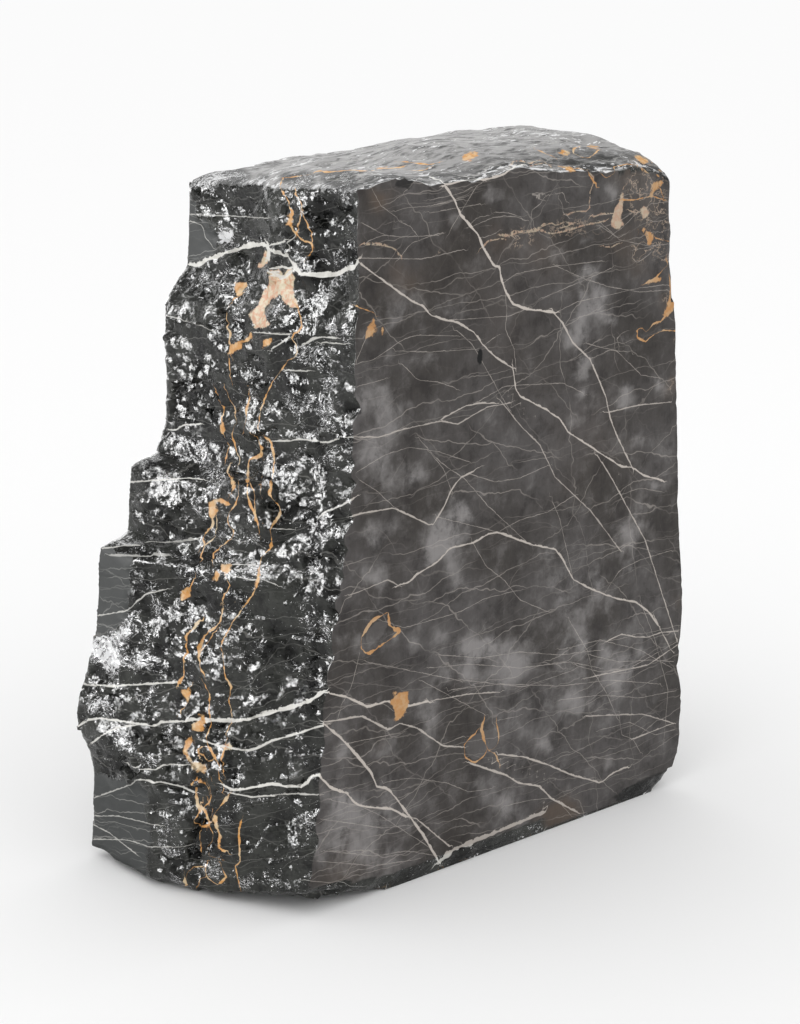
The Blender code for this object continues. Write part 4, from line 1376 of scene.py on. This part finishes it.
    def sheet_mask(self, across, spacing, waver, half_width, share):
        """One set of hairlines: wavering sheets through the stone, each of its own strength."""
        waves = self.multiply(self.noise(self.place, 9.0, 5.0, 0.6), waver)
        phase = self.add(self.math("DIVIDE", self.measure("DOT_PRODUCT", self.place, across),
                                   spacing), waves)
        sheet = self.math("FLOOR", phase)
        away = self.multiply(self.ridge(self.math("FRACT", phase)), spacing * 1000.0)
        chance = self.node("ShaderNodeTexWhiteNoise", [("W", sheet)],
                           noise_dimensions="1D").outputs["Value"]
        kept = self.ramp(chance, 1.0 - share, 1.02 - share * 0.4)
        step = self.node("ShaderNodeCombineXYZ", [(0, self.multiply(sheet, 0.37))]).outputs[0]
        shows = self.ramp(self.noise(self.vector("ADD", self.place, step), 14.0, 3.0), 0.40, 0.62)
        line = self.ramp(away, half_width * 0.5, half_width * 1.7, 1.0, 0.0)
        return self.multiply(line, self.multiply(kept, shows))

    def hairlines(self):
        """The sets of hairlines, and the drawn ones."""
        sets = self.largest(*[self.sheet_mask(*hair_set) for hair_set in HAIR_SETS])
        strength = self.blend_value(self.rough_zone, NET_STRENGTH, ROUGH_NET_STRENGTH)
        return self.largest(self.multiply(sets, strength), self.vein_mask("hair", self.fray, 0.20))

    def unseen_white(self):
        """Large white veins on the faces that the picture doesn't show."""
        width = self.multiply(self.fray, self.ramp(self.noise(self.place, 14.0, 2.0),
                                                   0.42, 0.7, 0.0, 0.017))
        edges = self.cell_edges(self.drifted, 8.5)
        return self.multiply(self.ramp(self.subtract(width, edges), -0.004, 0.004), self.unseen)

    def unseen_gold(self):
        """Gold veins on the faces that the picture doesn't show."""
        width = self.multiply(self.gold_fray, self.ramp(self.noise(self.place, 17.0, 3.0),
                                                        0.53, 0.72, 0.0, 0.036))
        edges = self.cell_edges(self.vector("MULTIPLY", self.drifted, (1.0, 1.0, 0.5)), 15.3)
        return self.multiply(self.ramp(self.subtract(width, edges), -0.004, 0.006), self.unseen)

    def patch(self, name, edge=None, softness=0.5):
        """The mask of drawn patches, with frayed edges."""
        edge = self.patch_fray if edge is None else edge
        return self.ramp(self.add(self.attribute(name), edge), -softness, softness)

    def threads(self):
        """The net of fine threads."""
        place = self.vector("MULTIPLY", self.warped, (1.0, 1.0, 1.7))
        lines = self.ramp(self.ridge(self.noise(place, 75.0, 4.0, 0.6)), 0.006, 0.024, 0.8, 0.0)
        return self.multiply(lines, self.ramp(self.multiply(self.attribute("net"), self.tone),
                                              0.1, 0.42))

    def cream_mask(self):
        """Where the cream patches and veins show."""
        veins = self.multiply(self.vein_mask("cream", self.fray, 0.3),
                              self.ramp(self.fine, 0.38, 0.52))
        return self.largest(self.patch("cream_patch"), veins)

    def cream_colour(self):
        """Cream and pink, duller on the sawn face."""
        colour = self.blend(self.ramp(self.noise(self.place, 260.0, 4.0, 0.65), 0.42, 0.60),
                            CREAM, CREAM_PINK)
        return self.blend(self.multiply(self.sawn, 0.65), colour, CREAM_DULL)

    def gold_mask(self):
        """Where the gold veins and patches show."""
        return self.largest(self.vein_mask("gold", self.gold_fray, 0.22), self.patch("gold_patch"),
                            self.unseen_gold())

    def gold_colour(self):
        """Gold with paler and creamy parts, duller on the sawn face."""
        colour = self.blend(self.ramp(self.noise(self.place, 210.0, 3.0), 0.42, 0.68), GOLD,
                            GOLD_PALE)
        colour = self.blend(self.ramp(self.noise(self.place, 48.0, 3.0), 0.50, 0.66, 0.0, 0.7),
                            colour, CREAM)
        return self.blend(self.multiply(self.sawn, 0.6), colour, GOLD_DULL)

    def pit_mask(self, pit_place):
        """The small pit in the sawn face, painted black as the shade inside it."""
        away = self.vector("DIVIDE", self.vector("SUBTRACT", self.place, pit_place), PIT_HALF_SIZES)
        away = self.add(self.measure("LENGTH", away), self.multiply(self.wobble, 0.5))
        return self.ramp(away, 0.8, 1.2, 1.0, 0.0)

    def gloss(self, dull):
        """The roughness: a glossy break, satin elsewhere, and duller veins."""
        roughness = self.blend_value(self.cluster, *BREAK_ROUGHNESS)
        roughness = self.blend_value(self.facet, roughness, FACET_ROUGHNESS)
        roughness = self.blend_value(self.top, roughness, TOP_ROUGHNESS)
        roughness = self.blend_value(self.sawn, roughness,
                                     self.ramp(self.streaks, 0.3, 0.8, *SAWN_ROUGHNESS))
        return self.blend_value(dull, roughness, VEIN_ROUGHNESS)

    def rippled(self, dull):
        """The normal: ripples that mirror the lamps in small patches, and fine bumps."""
        tilt = None
        for scale, amount in RIPPLES:
            lean = self.scaled(self.drift(self.grain_place, scale, 3.0, 0.6), amount)
            tilt = lean if tilt is None else self.vector("ADD", tilt, lean)
        share = self.add(self.multiply(self.cluster, 0.65), 0.35)
        kept = self.multiply(self.rough_zone, self.subtract(1.0, self.multiply(dull, 0.8)))
        normal = self.node("ShaderNodeNewGeometry").outputs["Normal"]
        tilted = self.vector("NORMALIZE", self.moved(normal, tilt, self.multiply(share, kept)))
        bumps = self.add(self.noise(self.place, 240.0, 4.0, 0.6),
                         self.multiply(self.noise(self.place, 900.0, 2.0), 0.35))
        depth = self.blend_value(self.sawn, BREAK_BUMPS, SAWN_BUMPS)
        depth = self.blend_value(self.facet, depth, FACET_BUMPS)
        return self.node("ShaderNodeBump", [("Height", self.multiply(bumps, depth)),
                                            ("Distance", 1.0), ("Strength", 1.0),
                                            ("Normal", tilted)]).outputs[0]


# ---- Stage ----

def add_camera():
    """The camera, at the photograph's place and angle."""
    data = bpy.data.cameras.new("camera")
    data.sensor_width = SENSOR_MM
    data.lens = FOCAL_PX * SENSOR_MM / PICTURE_HEIGHT
    camera = bpy.data.objects.new("camera", data)
    axes = Matrix((CAMERA_RIGHT, CAMERA_UP, -CAMERA_AHEAD)).transposed().to_4x4()
    camera.matrix_world = Matrix.Translation(Vector(CAMERA_PLACE)) @ axes
    bpy.context.scene.collection.objects.link(camera)
    bpy.context.scene.camera = camera


def add_softbox(name, place, size, radiance, mirrored_only):
    """A rectangular lamp that faces the block; one that is only mirrored adds gloss alone."""
    data = bpy.data.lights.new(name, "AREA")
    data.shape = "RECTANGLE"
    data.size, data.size_y = size
    data.energy = radiance * math.pi * size[0] * size[1]
    lamp = bpy.data.objects.new(name, data)
    lamp.visible_diffuse = not mirrored_only
    lamp.visible_camera = False
    lamp.location = place
    lamp.rotation_euler = (LAMP_TARGET - Vector(place)).to_track_quat("-Z", "Y").to_euler()
    bpy.context.scene.collection.objects.link(lamp)


def add_floor():
    """A wide pale floor."""
    mesh = bpy.data.meshes.new("floor")
    half = FLOOR_HALF_SIZE
    mesh.from_pydata([(-half, -half, 0), (half, -half, 0), (half, half, 0), (-half, half, 0)],
                     [], [(0, 1, 2, 3)])
    floor = bpy.data.objects.new("floor", mesh)
    graph = Graph("floor")
    graph.put(graph.shader.inputs["Base Color"], FLOOR_COLOUR)
    graph.put(graph.shader.inputs["Roughness"], 0.9)
    graph.put(graph.shader.inputs["Specular IOR Level"], 0.0)
    mesh.materials.append(graph.material)
    bpy.context.scene.collection.objects.link(floor)


def add_world():
    """A soft white room, dimmer where it is mirrored."""
    world = bpy.data.worlds.new("room")
    world.use_nodes = True
    tree = world.node_tree
    background = tree.nodes["Background"]
    path = tree.nodes.new("ShaderNodeLightPath")
    strength = tree.nodes.new("ShaderNodeMix")
    tree.links.new(path.outputs["Is Glossy Ray"], strength.inputs[0])
    strength.inputs[2].default_value = ROOM_STRENGTH
    strength.inputs[3].default_value = ROOM_IN_REFLECTIONS
    tree.links.new(strength.outputs[0], background.inputs["Strength"])
    background.inputs["Color"].default_value = (1.0, 1.0, 1.0, 1.0)
    bpy.context.scene.world = world


def build_skin(node, low, high):
    """The visible stone, with its fields and its relief."""
    skin = even_copy(node)
    mesh = skin.data
    mend(mesh)
    refine_break(mesh)
    rim = wear_rims(mesh, low[1])
    store(mesh, "rim", rim)
    places = mesh_vectors(mesh.vertices, "co")
    normals = mesh_vectors(mesh.vertex_normals, "vector")
    pixels = pixels_of(places)
    zones = find_zones(places, normals, pixels, low, high)
    shown = ((CAMERA_PLACE - places) * normals).sum(axis=1) > 0.0
    shown &= (zones["sawn"] + zones["left"] + zones["top"]) > 0.3
    surface = surface_of(mesh)
    pit_place = traced(surface, [PIT_PIXEL])[0][0]

    line_names = {kind: paint_lines(mesh, kind, lines, places, pixels, shown)
                  for kind, lines in drawn_lines(surface).items()}
    smeared = pixels + wander(places)
    facet = smooth(-FACET_SOFTNESS, FACET_SOFTNESS,
                   patch_field(FACETS, smeared, shown)) * zones["left"]
    paint_spots(mesh, zones, facet, pixels, smeared, shown)
    add_relief(mesh, zones, 1.0 - FACET_CALM * facet, rim, low, high)
    for face in mesh.polygons:
        face.use_smooth = True
    mesh.set_sharp_from_angle(angle=SHARP_EDGE)
    mesh.materials.clear()
    mesh.materials.append(Marble(line_names, pit_place, low[1]).material)
    return skin


cad_low, cad_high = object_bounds()
add_camera()
skin = build_skin(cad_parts[NODE], np.array(cad_low), np.array(cad_high))
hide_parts(NODE)
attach(skin, "root")
add_floor()
add_world()
for softbox in SOFTBOXES:
    add_softbox(*softbox)
bpy.context.scene.view_settings.view_transform = "Standard"
